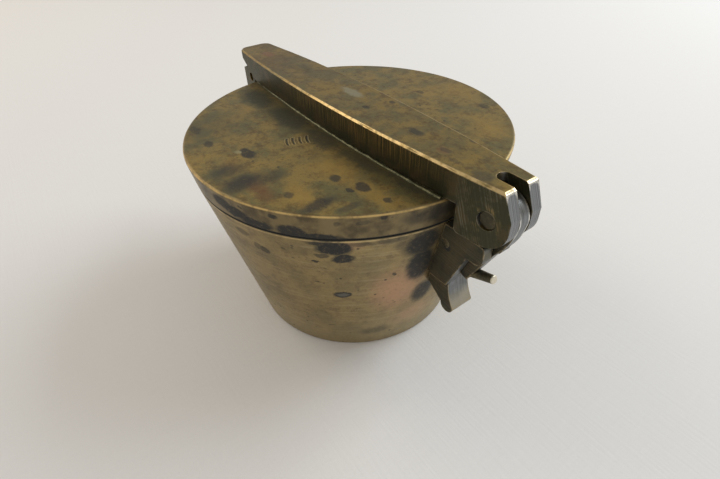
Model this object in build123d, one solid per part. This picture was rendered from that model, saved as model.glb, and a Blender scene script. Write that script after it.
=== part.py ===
from build123d import *
import math
import os

# A lidded set of nested brass cup weights, in millimetres.
# The origin is the middle of the case's base, +Z is up, +X points to the clasp and -X to the hinge.

# Case, the outermost cup
CASE_HEIGHT = 23.7
CASE_BASE_RADIUS = 15.2
CASE_RIM_RADIUS = 20.5
CASE_WALL = 2.1
CASE_FLOOR = 2.7
CASE_BASE_ROUND = 0.3
SEAM_BEVEL = 0.25

# Lid
LID_THICKNESS = 3.4
LID_FLARE = 0.6
LID_EDGE_ROUND = 0.3
SPIGOT_DEPTH = 1.0
SPIGOT_GAP = 0.25

# Bar across the lid
BAR_HEIGHT = 3.5
BAR_MIDDLE_WIDTH = 7.8
BAR_END_WIDTH = 4.3
BAR_EDGE_BEVEL = 0.2
BAR_RIVET_RADIUS = 0.9
BAR_RIVET_INSET = 8.0
BAR_RIVET_BITE = 2.2
BAR_RIVET_COUNT = 3

# Fork at the clasp end of the bar, and the pivot pin in it
FORK_STANDOFF = 0.9
FORK_LENGTH = 6.0
FORK_TIP_ROUND = 2.9
FORK_HEEL_ROUND = 0.6
FORK_TOP_SLOPE = 1.15
FORK_SEAT_GAP = 0.3
PIVOT_SETBACK = 2.5
PIVOT_DEPTH = 3.7
PIVOT_RADIUS = 1.0
PIVOT_RECESS = 0.2
SLOT_MOUTH_OFFSET = 0.5

# Hasp that swings in the fork
HASP_THICKNESS = 1.45
HASP_SIDE_GAP = 0.1
HASP_EYE_RADIUS = 2.5
HASP_EYE_GAP = 0.25
HASP_REACH = 10.7
PIN_RUNNING_GAP = 0.04
ARM_SHOULDER_OUT = 1.85
ARM_SHOULDER_DROP = 2.6
ARM_WAIST_OUT = 0.55
ARM_WAIST_DROP = 4.8
ARM_TOE_FRONT_SETBACK = 2.4
ARM_TOE_BACK_SETBACK = 3.9
ARM_BACK_SETBACK = 3.4
ARM_HEEL_HEIGHT = 1.3
ARM_HEEL_SLOPE = 1.3
PULL_LENGTH = 3.9
PULL_SIDE_WALL = 0.05
PULL_TIP_RADIUS = 0.5
PULL_TIP_BEVEL = 0.12
PULL_TILT = 19.0
PULL_SETBACK = 2.9
PULL_RISE = 0.85

# Catch block on the case wall, under the fork
CATCH_BELOW_RIM = 0.25
CATCH_NOSE_REACH = 5.35
CATCH_NOSE_DEPTH = 2.7
CATCH_NOSE_ROUND = 1.0
CATCH_HEIGHT = 8.45
CATCH_FACE_TOP_DEPTH = 3.95
CATCH_FACE_FOOT_DEPTH = 2.95
CATCH_WEB = 0.35
TAIL_WIDTH = 3.3
TAIL_DROP = 4.6
TAIL_REACH = 4.1
TAIL_THICKNESS = 2.0
TAIL_HOLLOW = 0.25
TAIL_ROOT = 2.0
CROSS_PIN_RADIUS = 0.45
CROSS_PIN_DROP = 2.55
SOLDER_GAP = 0.05

# Hinge: a bracket on the case wall with a lug that stands between two cheeks of the bar
HINGE_STANDOFF = 0.35
HINGE_KNUCKLE_RADIUS = 1.25
HINGE_PIN_RADIUS = 0.6
HINGE_PIN_RISE = 0.1
HINGE_PIN_RECESS = 0.3
HINGE_LUG_WIDTH = 2.2
HINGE_SIDE_GAP = 0.12
HINGE_TURN_GAP = 0.25
HINGE_SWING_GAP = 0.3
HINGE_RIM_GAP = 0.3
HINGE_NECK_DROP = 1.9
HINGE_NECK_REACH = 0.3
HINGE_LUG_ROOT = 2.0
HINGE_FOOT_TOP = 0.7
HINGE_FOOT_HEIGHT = 4.8
HINGE_FOOT_WIDTH = 6.6
HINGE_FOOT_THICKNESS = 1.3
CHEEK_REACH = 3.6
CHEEK_RISE = 0.5
CHEEK_DROP = 2.5
NOTCH_REACH = 1.3
NOTCH_RISE = 1.4
LIP_REACH = 4.0
LIP_THICKNESS = 0.7
LIP_WIDTH = 5.0
LIP_CORNER_ROUND = 1.4

# Rivets through the case wall
WALL_RIVET_RADIUS = 0.5
CATCH_RIVET_BITE = 1.6
HINGE_RIVET_PROUD = 0.25
CATCH_RIVET_RISE = 2.6
HINGE_RIVET_DROP = 2.8
HINGE_RIVET_SPREAD = 3.6

# Nested cups, the largest first: the wall is measured square to it
CUP_WALL_1 = 3.05
CUP_WALL_2 = 2.35
CUP_WALL_3 = 1.78
CUP_WALL_4 = 1.33
CUP_WALL_5 = 0.98
CUP_WALL_6 = 0.7
CUP_FLOOR_1 = 3.95
CUP_FLOOR_2 = 3.05
CUP_FLOOR_3 = 2.3
CUP_FLOOR_4 = 1.75
CUP_FLOOR_5 = 1.25
CUP_FLOOR_6 = 0.9
CUP_GAP = 0.2
CUP_RIM_STEP = 0.3
CUP_EDGE_BEVEL = 0.12
CENTRE_WEIGHT_HEIGHT = 2.9

CUP_WALLS = (CUP_WALL_1, CUP_WALL_2, CUP_WALL_3, CUP_WALL_4, CUP_WALL_5, CUP_WALL_6)
CUP_FLOORS = (CUP_FLOOR_1, CUP_FLOOR_2, CUP_FLOOR_3, CUP_FLOOR_4, CUP_FLOOR_5, CUP_FLOOR_6)

# Worked out from the sizes above
TAPER = (CASE_RIM_RADIUS - CASE_BASE_RADIUS) / CASE_HEIGHT
WALL_COSINE = math.cos(math.atan(TAPER))
LID_RADIUS = CASE_RIM_RADIUS + LID_FLARE
LID_TOP = CASE_HEIGHT + LID_THICKNESS
BAR_TOP = LID_TOP + BAR_HEIGHT
SLOT_WIDTH = HASP_THICKNESS + 2 * HASP_SIDE_GAP
PULL_ROOT_RADIUS = HASP_THICKNESS / 2 - PULL_SIDE_WALL
CATCH_TOP = CASE_HEIGHT - CATCH_BELOW_RIM
CATCH_BOTTOM = CATCH_TOP - CATCH_HEIGHT
FORK_HEEL_X = LID_RADIUS + FORK_STANDOFF
FORK_TIP_X = FORK_HEEL_X + FORK_LENGTH
FORK_BOTTOM = CATCH_TOP + FORK_SEAT_GAP
PIVOT_X = FORK_TIP_X - PIVOT_SETBACK
PIVOT_Z = BAR_TOP - PIVOT_DEPTH
HINGE_X = -(LID_RADIUS + HINGE_STANDOFF + HINGE_KNUCKLE_RADIUS)
HINGE_Z = LID_TOP + HINGE_PIN_RISE
HINGE_SLOT_WIDTH = HINGE_LUG_WIDTH + 2 * HINGE_SIDE_GAP
HINGE_SWING_RADIUS = math.hypot(-HINGE_X - CASE_RIM_RADIUS, HINGE_Z - CASE_HEIGHT) - HINGE_SWING_GAP
CHEEK_INNER_X = -(LID_RADIUS + HINGE_RIM_GAP)
LIP_END_X = HINGE_X - LIP_REACH
FAR = 60.0
OVERRUN = 10.0


def outer_radius(z):
    """Radius of the case's outside at a height."""
    return CASE_BASE_RADIUS + TAPER * z


def inner_radius(z):
    """Radius of the case's inside at a height."""
    return outer_radius(z) - CASE_WALL / WALL_COSINE


def turned(points):
    """A turned solid from its half outline, as (radius, height) points."""
    return revolve(Plane.XZ * make_face(Polyline(*points, close=True)), Axis.Z)


def side_slab(outline, width):
    """A slab that is width wide, centred on y = 0, with the side outline given as an (x, z) face."""
    return extrude(Plane.XZ * outline, amount=width / 2, both=True)


def polygon(points):
    """A flat face with straight sides."""
    return make_face(Polyline(*points, close=True))


def cross_rod(x, z, radius, length):
    """A round rod along Y, centred on y = 0."""
    return Pos(x, 0, z) * Rot(90, 0, 0) * Cylinder(radius, length)


def wall_cone(offset):
    """The case's outside as a solid cone, made larger by an offset, running on past both ends."""
    below = -OVERRUN
    above = CASE_HEIGHT + OVERRUN
    grow = offset / WALL_COSINE
    return turned([
        (0, below),
        (outer_radius(below) + grow, below),
        (outer_radius(above) + grow, above),
        (0, above),
    ])


def case_cup():
    """The outermost cup, which is the box and a weight itself."""
    body = turned([
        (0, 0),
        (CASE_BASE_RADIUS, 0),
        (CASE_RIM_RADIUS, CASE_HEIGHT),
        (inner_radius(CASE_HEIGHT), CASE_HEIGHT),
        (inner_radius(CASE_FLOOR), CASE_FLOOR),
        (0, CASE_FLOOR),
    ])
    base_edge = body.edges().filter_by(GeomType.CIRCLE).group_by(Axis.Z)[0]
    body = fillet(base_edge, CASE_BASE_ROUND)
    rim_edge = body.edges().filter_by(GeomType.CIRCLE).group_by(Axis.Z)[-1].sort_by(SortBy.RADIUS)[-1]
    body = chamfer(rim_edge, SEAM_BEVEL)
    return body - catch_rivets() - hinge_rivets()


def lid_disc():
    """The lid, with a shallow spigot under it that centres it in the case's mouth."""
    spigot_bottom = CASE_HEIGHT - SPIGOT_DEPTH
    gap = SPIGOT_GAP / WALL_COSINE
    body = turned([
        (0, spigot_bottom),
        (inner_radius(spigot_bottom) - gap, spigot_bottom),
        (inner_radius(CASE_HEIGHT) - gap, CASE_HEIGHT),
        (CASE_RIM_RADIUS, CASE_HEIGHT),
        (LID_RADIUS, LID_TOP),
        (0, LID_TOP),
    ])
    rings = body.edges().filter_by(GeomType.CIRCLE)
    body = fillet(rings.group_by(Axis.Z)[-1], LID_EDGE_ROUND)
    seam_ring = body.edges().filter_by(GeomType.CIRCLE)
    seam_ring = [ring for ring in seam_ring if abs(ring.radius - CASE_RIM_RADIUS) < SEAM_BEVEL / 2]
    body = chamfer(seam_ring, SEAM_BEVEL)
    return body - bar_rivets()


def bow():
    """Middle and radius of the arc that bounds the bar on its +Y side, seen from above."""
    left = Vector(LIP_END_X, LIP_WIDTH / 2)
    middle = Vector((LIP_END_X + FORK_TIP_X) / 2, BAR_MIDDLE_WIDTH / 2)
    right = Vector(FORK_TIP_X, BAR_END_WIDTH / 2)
    arc = ThreePointArc(left, middle, right)
    return arc.arc_center.X, arc.arc_center.Y, arc.radius


def bar_width(x):
    """The bar's width at a place along it."""
    centre_x, centre_y, radius = bow()
    return 2 * (centre_y + math.sqrt(radius ** 2 - (x - centre_x) ** 2))


def bar_plan():
    """The bar seen from above: bowed sides and a rounded hinge end."""
    middle_x = (LIP_END_X + FORK_TIP_X) / 2
    half_lip = LIP_WIDTH / 2
    half_middle = BAR_MIDDLE_WIDTH / 2
    half_end = BAR_END_WIDTH / 2
    upper = ThreePointArc((LIP_END_X, half_lip), (middle_x, half_middle), (FORK_TIP_X, half_end))
    lower = ThreePointArc((FORK_TIP_X, -half_end), (middle_x, -half_middle), (LIP_END_X, -half_lip))
    near_end = Line((FORK_TIP_X, half_end), (FORK_TIP_X, -half_end))
    far_end = Line((LIP_END_X, -half_lip), (LIP_END_X, half_lip))
    plan = make_face([upper, near_end, lower, far_end])
    corners = plan.vertices().group_by(Axis.X)[0]
    return fillet(corners, LIP_CORNER_ROUND)


def fork_outline():
    """Side outline of the fork that hangs outside the lid's rim."""
    outline = polygon([
        (FORK_HEEL_X, FORK_BOTTOM),
        (FORK_TIP_X, FORK_BOTTOM),
        (FORK_TIP_X, PIVOT_Z + PIVOT_RADIUS),
        (FORK_TIP_X - FORK_TOP_SLOPE, BAR_TOP),
        (FORK_HEEL_X, BAR_TOP),
    ])
    low = outline.vertices().group_by(Axis.Y)[0].sort_by(Axis.X)
    outline = fillet(low[-1], FORK_TIP_ROUND)
    low = outline.vertices().group_by(Axis.Y)[0].sort_by(Axis.X)
    return fillet(low[0], FORK_HEEL_ROUND)


def hinge_end_outline():
    """Side outline of the bar's hinge end: a lip above, and the cheeks that take the hinge pin below it."""
    lip = polygon([
        (CHEEK_INNER_X, HINGE_Z),
        (CHEEK_INNER_X, BAR_TOP),
        (LIP_END_X, BAR_TOP),
        (LIP_END_X, BAR_TOP - LIP_THICKNESS),
        (HINGE_X - NOTCH_REACH, HINGE_Z + NOTCH_RISE),
    ])
    cheek = polygon([
        (CHEEK_INNER_X, HINGE_Z - CHEEK_DROP),
        (CHEEK_INNER_X, HINGE_Z + NOTCH_RISE),
        (HINGE_X - NOTCH_REACH, HINGE_Z + NOTCH_RISE),
        (HINGE_X - CHEEK_REACH, HINGE_Z + CHEEK_RISE),
        (HINGE_X - CHEEK_REACH, HINGE_Z - CHEEK_DROP),
    ])
    swing = Pos(HINGE_X, HINGE_Z) * Circle(HINGE_SWING_RADIUS)
    return lip + (cheek & swing)


def hinge_pocket():
    """The room in the bar's hinge end that the lug stands in, open below and outwards."""
    room = HINGE_KNUCKLE_RADIUS + HINGE_TURN_GAP
    side = HINGE_X + room
    roof = HINGE_Z + room
    return side_slab(polygon([(side, -FAR), (side, roof), (-FAR, roof), (-FAR, -FAR)]), HINGE_SLOT_WIDTH)


def fork_pocket():
    """The room in the fork that the hasp's eye turns in, open below, outwards and part of the top."""
    inner_x = PIVOT_X - HASP_EYE_RADIUS - HASP_EYE_GAP
    top_z = PIVOT_Z + HASP_EYE_RADIUS + HASP_EYE_GAP
    pocket = side_slab(polygon([(inner_x, -FAR), (FAR, -FAR), (FAR, top_z), (inner_x, top_z)]), SLOT_WIDTH)
    mouth_x = PIVOT_X - SLOT_MOUTH_OFFSET
    mouth = side_slab(polygon([(mouth_x, top_z), (FAR, top_z), (FAR, FAR), (mouth_x, FAR)]), SLOT_WIDTH)
    hole_height = BAR_HEIGHT + PIVOT_DEPTH
    hole = Pos(mouth_x, 0, PIVOT_Z + hole_height / 2) * Cylinder(SLOT_WIDTH / 2, hole_height)
    return pocket + mouth + hole


def lid_bar():
    """The bar on the lid, with its clasp fork and its hinge cheeks in one piece."""
    plan = extrude(bar_plan(), amount=2 * FAR, both=True)
    over_lid = polygon([
        (CHEEK_INNER_X, LID_TOP),
        (FORK_HEEL_X, LID_TOP),
        (FORK_HEEL_X, BAR_TOP),
        (CHEEK_INNER_X, BAR_TOP),
    ])
    outline = over_lid + fork_outline() + hinge_end_outline()
    bar = plan & side_slab(outline, 2 * BAR_MIDDLE_WIDTH)
    top_edges = bar.faces().sort_by(Axis.Z)[-1].edges()
    bar = chamfer(top_edges, BAR_EDGE_BEVEL)
    bar = bar - fork_pocket() - hinge_pocket()
    bar = bar - cross_rod(PIVOT_X, PIVOT_Z, PIVOT_RADIUS, FAR)
    bar = bar - cross_rod(HINGE_X, HINGE_Z, HINGE_PIN_RADIUS + PIN_RUNNING_GAP, FAR)
    return bar - bar_rivets()


def bar_rivets():
    """Rivets driven from inside the lid up into the bar, flush under the spigot."""
    bottom = CASE_HEIGHT - SPIGOT_DEPTH
    length = LID_TOP + BAR_RIVET_BITE - bottom
    last_x = LID_RADIUS - BAR_RIVET_INSET
    spacing = 2 * last_x / (BAR_RIVET_COUNT - 1)
    rivets = []
    for index in range(BAR_RIVET_COUNT):
        x = index * spacing - last_x
        rivets.append(Pos(x, 0, bottom + length / 2) * Cylinder(BAR_RIVET_RADIUS, length))
    return Compound(children=rivets)


def pivot_pin():
    """The pin that the hasp swings on, fixed in the fork's cheeks a little below their faces."""
    return cross_rod(PIVOT_X, PIVOT_Z, PIVOT_RADIUS, bar_width(PIVOT_X) - 2 * PIVOT_RECESS)


def pull_pin():
    """The tapered peg on the hasp's lower end that the finger pulls."""
    foot_x = PIVOT_X - PULL_SETBACK
    foot_z = PIVOT_Z - HASP_REACH + PULL_RISE
    from_foot = (Align.CENTER, Align.CENTER, Align.MIN)
    cone = Cone(PULL_ROOT_RADIUS, PULL_TIP_RADIUS, PULL_LENGTH, align=from_foot)
    tip = cone.edges().filter_by(GeomType.CIRCLE).sort_by(SortBy.RADIUS)[0]
    cone = chamfer(tip, PULL_TIP_BEVEL)
    return Pos(foot_x, 0, foot_z) * Rot(0, 90 - PULL_TILT, 0) * cone


def hasp():
    """The hasp: an eye on the pivot pin and an arm that hangs down in the catch's slot."""
    eye = Pos(PIVOT_X, PIVOT_Z) * Circle(HASP_EYE_RADIUS)
    pin_x = cross_pin_x()
    pin_z = CATCH_TOP - CROSS_PIN_DROP
    heel_x = pin_x + CROSS_PIN_RADIUS + HASP_EYE_GAP
    toe_z = PIVOT_Z - HASP_REACH
    eye_front = (PIVOT_X + HASP_EYE_RADIUS, PIVOT_Z)
    shoulder = (PIVOT_X + ARM_SHOULDER_OUT, PIVOT_Z - ARM_SHOULDER_DROP)
    waist = (PIVOT_X + ARM_WAIST_OUT, PIVOT_Z - ARM_WAIST_DROP)
    back = Polyline(
        waist,
        (PIVOT_X - ARM_TOE_FRONT_SETBACK, toe_z),
        (PIVOT_X - ARM_TOE_BACK_SETBACK, toe_z),
        (PIVOT_X - ARM_BACK_SETBACK, pin_z - ARM_HEEL_HEIGHT / 2 - ARM_HEEL_SLOPE),
        (heel_x, pin_z - ARM_HEEL_HEIGHT / 2),
        (heel_x, pin_z + ARM_HEEL_HEIGHT / 2),
        (PIVOT_X - HASP_EYE_RADIUS, pin_z + ARM_HEEL_HEIGHT / 2 + ARM_HEEL_SLOPE),
        (PIVOT_X - HASP_EYE_RADIUS, PIVOT_Z),
        eye_front,
    )
    arm = make_face([ThreePointArc(eye_front, shoulder, waist), back])
    arm = arm & (Pos(PIVOT_X, PIVOT_Z) * Circle(HASP_REACH))
    body = side_slab(eye + arm, HASP_THICKNESS)
    body = body - cross_rod(PIVOT_X, PIVOT_Z, PIVOT_RADIUS + PIN_RUNNING_GAP, FAR)
    return body - pull_pin()


def cross_pin_x():
    """Where the catch's cross pin sits: in the slot, close to the case wall."""
    z = CATCH_TOP - CROSS_PIN_DROP
    return outer_radius(z) + CATCH_WEB + CROSS_PIN_RADIUS + SOLDER_GAP


def catch_outline():
    """Side outline of the catch block: a round nose above, a face that slopes in below it."""
    nose_x = CASE_RIM_RADIUS + CATCH_NOSE_REACH
    nose_bottom = CATCH_TOP - CATCH_NOSE_DEPTH
    face_top_x = outer_radius(nose_bottom) + CATCH_FACE_TOP_DEPTH
    face_foot_x = outer_radius(CATCH_BOTTOM) + CATCH_FACE_FOOT_DEPTH
    nose = polygon([
        (0, nose_bottom),
        (nose_x, nose_bottom),
        (nose_x, CATCH_TOP),
        (0, CATCH_TOP),
    ])
    outer = nose.vertices().group_by(Axis.X)[-1].sort_by(Axis.Y)
    nose = fillet(outer[0], CATCH_NOSE_ROUND)
    outer = nose.vertices().group_by(Axis.X)[-1].sort_by(Axis.Y)
    nose = fillet(outer[-1], CATCH_NOSE_ROUND / 2)
    face = polygon([
        (0, CATCH_BOTTOM),
        (face_foot_x, CATCH_BOTTOM),
        (face_top_x, nose_bottom),
        (0, nose_bottom),
    ])
    return nose + face


def tail_outline():
    """Side outline of the lip that curls outwards under the catch block."""
    wall_x = outer_radius(CATCH_BOTTOM)
    foot_x = wall_x + CATCH_FACE_FOOT_DEPTH
    tip_x = wall_x + TAIL_REACH
    tip_z = CATCH_BOTTOM - TAIL_DROP
    tip_radius = TAIL_THICKNESS / 2
    front_tip = (tip_x, tip_z + tip_radius)
    back_tip = (tip_x - TAIL_THICKNESS, tip_z + tip_radius)
    hollow = ((foot_x + tip_x) / 2 - TAIL_HOLLOW, (CATCH_BOTTOM + front_tip[1]) / 2)
    return make_face([
        ThreePointArc((foot_x, CATCH_BOTTOM), hollow, front_tip),
        ThreePointArc(front_tip, (tip_x - tip_radius, tip_z), back_tip),
        Polyline(
            back_tip,
            (wall_x, CATCH_BOTTOM - TAIL_ROOT),
            (0, CATCH_BOTTOM - TAIL_ROOT),
            (0, CATCH_BOTTOM),
            (foot_x, CATCH_BOTTOM),
        ),
    ])


def catch_slot():
    """The slot that the hasp's arm hangs in, ending below on an arc round the hasp's pivot."""
    floor_gap = CATCH_WEB + SOLDER_GAP
    low = CATCH_BOTTOM - OVERRUN
    high = CATCH_TOP + OVERRUN
    sweep = Pos(PIVOT_X, PIVOT_Z) * Circle(HASP_REACH + HASP_EYE_GAP)
    room = polygon([
        (outer_radius(low) + floor_gap, low),
        (FAR, low),
        (FAR, high),
        (outer_radius(high) + floor_gap, high),
    ])
    return side_slab(room & sweep, SLOT_WIDTH)


def catch_block():
    """The block on the case wall that takes the hasp, with its finger lip."""
    body = side_slab(catch_outline(), BAR_END_WIDTH) + side_slab(tail_outline(), TAIL_WIDTH)
    body = body - wall_cone(SOLDER_GAP)
    body = body - catch_slot()
    body = body - cross_pin()
    return body - catch_rivets()


def cross_pin():
    """The pin across the catch's slot that the hasp's arm comes to rest against."""
    return cross_rod(cross_pin_x(), CATCH_TOP - CROSS_PIN_DROP, CROSS_PIN_RADIUS, BAR_END_WIDTH)


def wall_rivet(side, y, z, bite):
    """One rivet through the case wall, flush inside; side is 1 at the clasp and -1 at the hinge."""
    inner = math.sqrt(inner_radius(z) ** 2 - y ** 2) - 2 * WALL_RIVET_RADIUS
    outer = math.sqrt(outer_radius(z) ** 2 - y ** 2) + SOLDER_GAP + bite
    rod = Rot(0, 90, 0) * Cylinder(WALL_RIVET_RADIUS, outer - inner)
    return Pos(side * (inner + outer) / 2, y, z) * rod


def case_hollow():
    """The hollow of the case, as a solid to trim rivets with."""
    return turned([
        (0, 0),
        (inner_radius(0), 0),
        (inner_radius(CASE_HEIGHT), CASE_HEIGHT),
        (0, CASE_HEIGHT),
    ])


def catch_rivets():
    """Two rivets that hold the catch block, one in each cheek beside its slot."""
    y = (SLOT_WIDTH + BAR_END_WIDTH) / 4
    z = CATCH_BOTTOM + CATCH_RIVET_RISE
    rods = [wall_rivet(1, side * y, z, CATCH_RIVET_BITE) - case_hollow() for side in (-1, 1)]
    return Compound(children=rods)


def hinge_rivets():
    """Two rivets that hold the hinge bracket, side by side."""
    z = CASE_HEIGHT - HINGE_RIVET_DROP
    bite = HINGE_FOOT_THICKNESS + HINGE_RIVET_PROUD
    rods = []
    for side in (-1, 1):
        rods.append(wall_rivet(-1, side * HINGE_RIVET_SPREAD / 2, z, bite) - case_hollow())
    return Compound(children=rods)


def lug_outline():
    """Side outline of the lug that rises from the bracket's foot, past the rim, to the hinge pin."""
    seat_z = CASE_HEIGHT - HINGE_RIM_GAP
    root_z = seat_z - HINGE_LUG_ROOT
    lug = polygon([
        (0, seat_z),
        (CHEEK_INNER_X, seat_z),
        (CHEEK_INNER_X, HINGE_Z),
        (HINGE_X - HINGE_KNUCKLE_RADIUS, HINGE_Z),
        (HINGE_X - HINGE_NECK_REACH, HINGE_Z - HINGE_NECK_DROP),
        (-outer_radius(root_z) - HINGE_FOOT_THICKNESS, root_z),
        (0, root_z),
    ])
    return lug + Pos(HINGE_X, HINGE_Z) * Circle(HINGE_KNUCKLE_RADIUS)


def hinge_bracket():
    """The bracket on the case wall: a foot plate that is riveted on, and a lug for the hinge pin."""
    foot_top = CASE_HEIGHT - HINGE_FOOT_TOP
    foot_bottom = foot_top - HINGE_FOOT_HEIGHT
    foot = polygon([
        (0, foot_bottom),
        (0, foot_top),
        (-outer_radius(foot_top) - HINGE_FOOT_THICKNESS, foot_top),
        (-outer_radius(foot_bottom) - HINGE_FOOT_THICKNESS, foot_bottom),
    ])
    body = side_slab(foot, HINGE_FOOT_WIDTH) + side_slab(lug_outline(), HINGE_LUG_WIDTH)
    body = body - wall_cone(SOLDER_GAP)
    body = body - cross_rod(HINGE_X, HINGE_Z, HINGE_PIN_RADIUS, FAR)
    return body - hinge_rivets()


def hinge_pin():
    """The hinge pin, fixed in the lug, with its ends a little below the cheeks' faces."""
    length = bar_width(HINGE_X) - 2 * HINGE_PIN_RECESS
    return cross_rod(HINGE_X, HINGE_Z, HINGE_PIN_RADIUS, length)


def cup_solid(base_z, rim_z, base_radius, wall, floor):
    """One nested cup as a turned solid with broken rim edges."""
    height = rim_z - base_z
    rim_radius = base_radius + TAPER * height
    wall_across = wall / WALL_COSINE
    body = turned([
        (0, base_z),
        (base_radius, base_z),
        (rim_radius, rim_z),
        (rim_radius - wall_across, rim_z),
        (base_radius + TAPER * floor - wall_across, base_z + floor),
        (0, base_z + floor),
    ])
    rings = body.edges().filter_by(GeomType.CIRCLE)
    broken = list(rings.group_by(Axis.Z)[-1]) + list(rings.group_by(Axis.Z)[0])
    return chamfer(broken, CUP_EDGE_BEVEL)


def nested_cups():
    """The cups that nest in the case, largest first, and the solid weight in the middle."""
    pieces = {}
    base_z = CASE_FLOOR
    rim_z = CASE_HEIGHT - SPIGOT_DEPTH - CUP_RIM_STEP
    room_radius = inner_radius(CASE_FLOOR)
    for index, (wall, floor) in enumerate(zip(CUP_WALLS, CUP_FLOORS)):
        base_radius = room_radius - CUP_GAP / WALL_COSINE
        pieces[f"nest_cup_{index + 1}"] = cup_solid(base_z, rim_z, base_radius, wall, floor)
        room_radius = base_radius + TAPER * floor - wall / WALL_COSINE
        base_z += floor
        rim_z -= CUP_RIM_STEP
    weight_radius = room_radius - CUP_GAP / WALL_COSINE
    weight = turned([
        (0, base_z),
        (weight_radius, base_z),
        (weight_radius + TAPER * CENTRE_WEIGHT_HEIGHT, base_z + CENTRE_WEIGHT_HEIGHT),
        (0, base_z + CENTRE_WEIGHT_HEIGHT),
    ])
    pieces["centre_weight"] = chamfer(weight.edges().filter_by(GeomType.CIRCLE), CUP_EDGE_BEVEL)
    return pieces


def main():
    """Build every piece and write it to its own file."""
    os.makedirs("parts", exist_ok=True)
    pieces = {
        "case_cup": case_cup(),
        "hinge_bracket": hinge_bracket(),
        "hinge_bracket_rivets": hinge_rivets(),
        "hinge_pin": hinge_pin(),
        "catch_block": catch_block(),
        "catch_block_rivets": catch_rivets(),
        "catch_cross_pin": cross_pin(),
        "lid_disc": lid_disc(),
        "lid_bar": lid_bar(),
        "bar_rivets": bar_rivets(),
        "hasp_pivot_pin": pivot_pin(),
        "hasp": hasp(),
        "hasp_pull_pin": pull_pin(),
    }
    pieces.update(nested_cups())
    for name, piece in pieces.items():
        export_step(piece, f"parts/{name}.step")
        print(name, round(piece.volume, 2))


main()
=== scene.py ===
import logging
import math
from dataclasses import dataclass
from enum import Enum
from typing import Any, Callable, Sequence

import bmesh
import bpy
import numpy as np
from mathutils import Matrix, Vector, noise


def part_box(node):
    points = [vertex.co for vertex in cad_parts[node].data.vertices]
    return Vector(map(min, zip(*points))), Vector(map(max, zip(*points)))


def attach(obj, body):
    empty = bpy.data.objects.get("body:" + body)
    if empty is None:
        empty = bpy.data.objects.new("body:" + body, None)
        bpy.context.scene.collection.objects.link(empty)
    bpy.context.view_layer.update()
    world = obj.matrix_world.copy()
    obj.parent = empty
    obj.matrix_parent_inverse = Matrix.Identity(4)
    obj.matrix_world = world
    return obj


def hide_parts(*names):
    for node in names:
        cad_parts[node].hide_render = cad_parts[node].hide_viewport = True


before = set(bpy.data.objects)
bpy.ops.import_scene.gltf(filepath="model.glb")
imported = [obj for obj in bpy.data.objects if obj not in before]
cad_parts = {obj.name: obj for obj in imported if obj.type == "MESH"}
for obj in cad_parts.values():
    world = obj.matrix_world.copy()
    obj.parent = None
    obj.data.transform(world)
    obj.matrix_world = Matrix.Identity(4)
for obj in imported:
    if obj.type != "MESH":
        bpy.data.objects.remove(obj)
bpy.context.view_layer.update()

# A lidded set of nested brass cup weights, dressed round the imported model.
# Lengths are millimetres until a mesh is finished, and every finished mesh is in metres.
MM = 0.001
LOG = logging.getLogger("nested_weights")

Colour = tuple[float, float, float]
Point = tuple[float, float, float]
Pixel = tuple[float, float]
Outline = list[tuple[float, float]]


class Body(Enum):
    """The bodies that a piece can ride on."""

    CASE = "root"
    LID = "lid"
    HASP = "hasp"


class Slot(Enum):
    """The record's material slots."""

    CASE = "case_brass"
    LID = "lid_brass"
    BAR = "bar_brass"
    CLASP = "clasp_brass"
    PIN = "pin_brass"
    CUP = "cup_brass"


class Axis(Enum):
    """The way that a turned piece's axis points, from its foot to its head."""

    UP = (0.0, 0.0, 1.0)
    ALONG = (1.0, 0.0, 0.0)
    ACROSS = (0.0, 1.0, 0.0)


def span(node: str) -> tuple[Vector, Vector]:
    """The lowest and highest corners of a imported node, in millimetres."""
    low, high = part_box(node)
    return Vector(low) / MM, Vector(high) / MM


def middle(node: str) -> Vector:
    """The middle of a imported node, in millimetres."""
    low, high = span(node)
    return (low + high) / 2


# Node graphs


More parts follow.
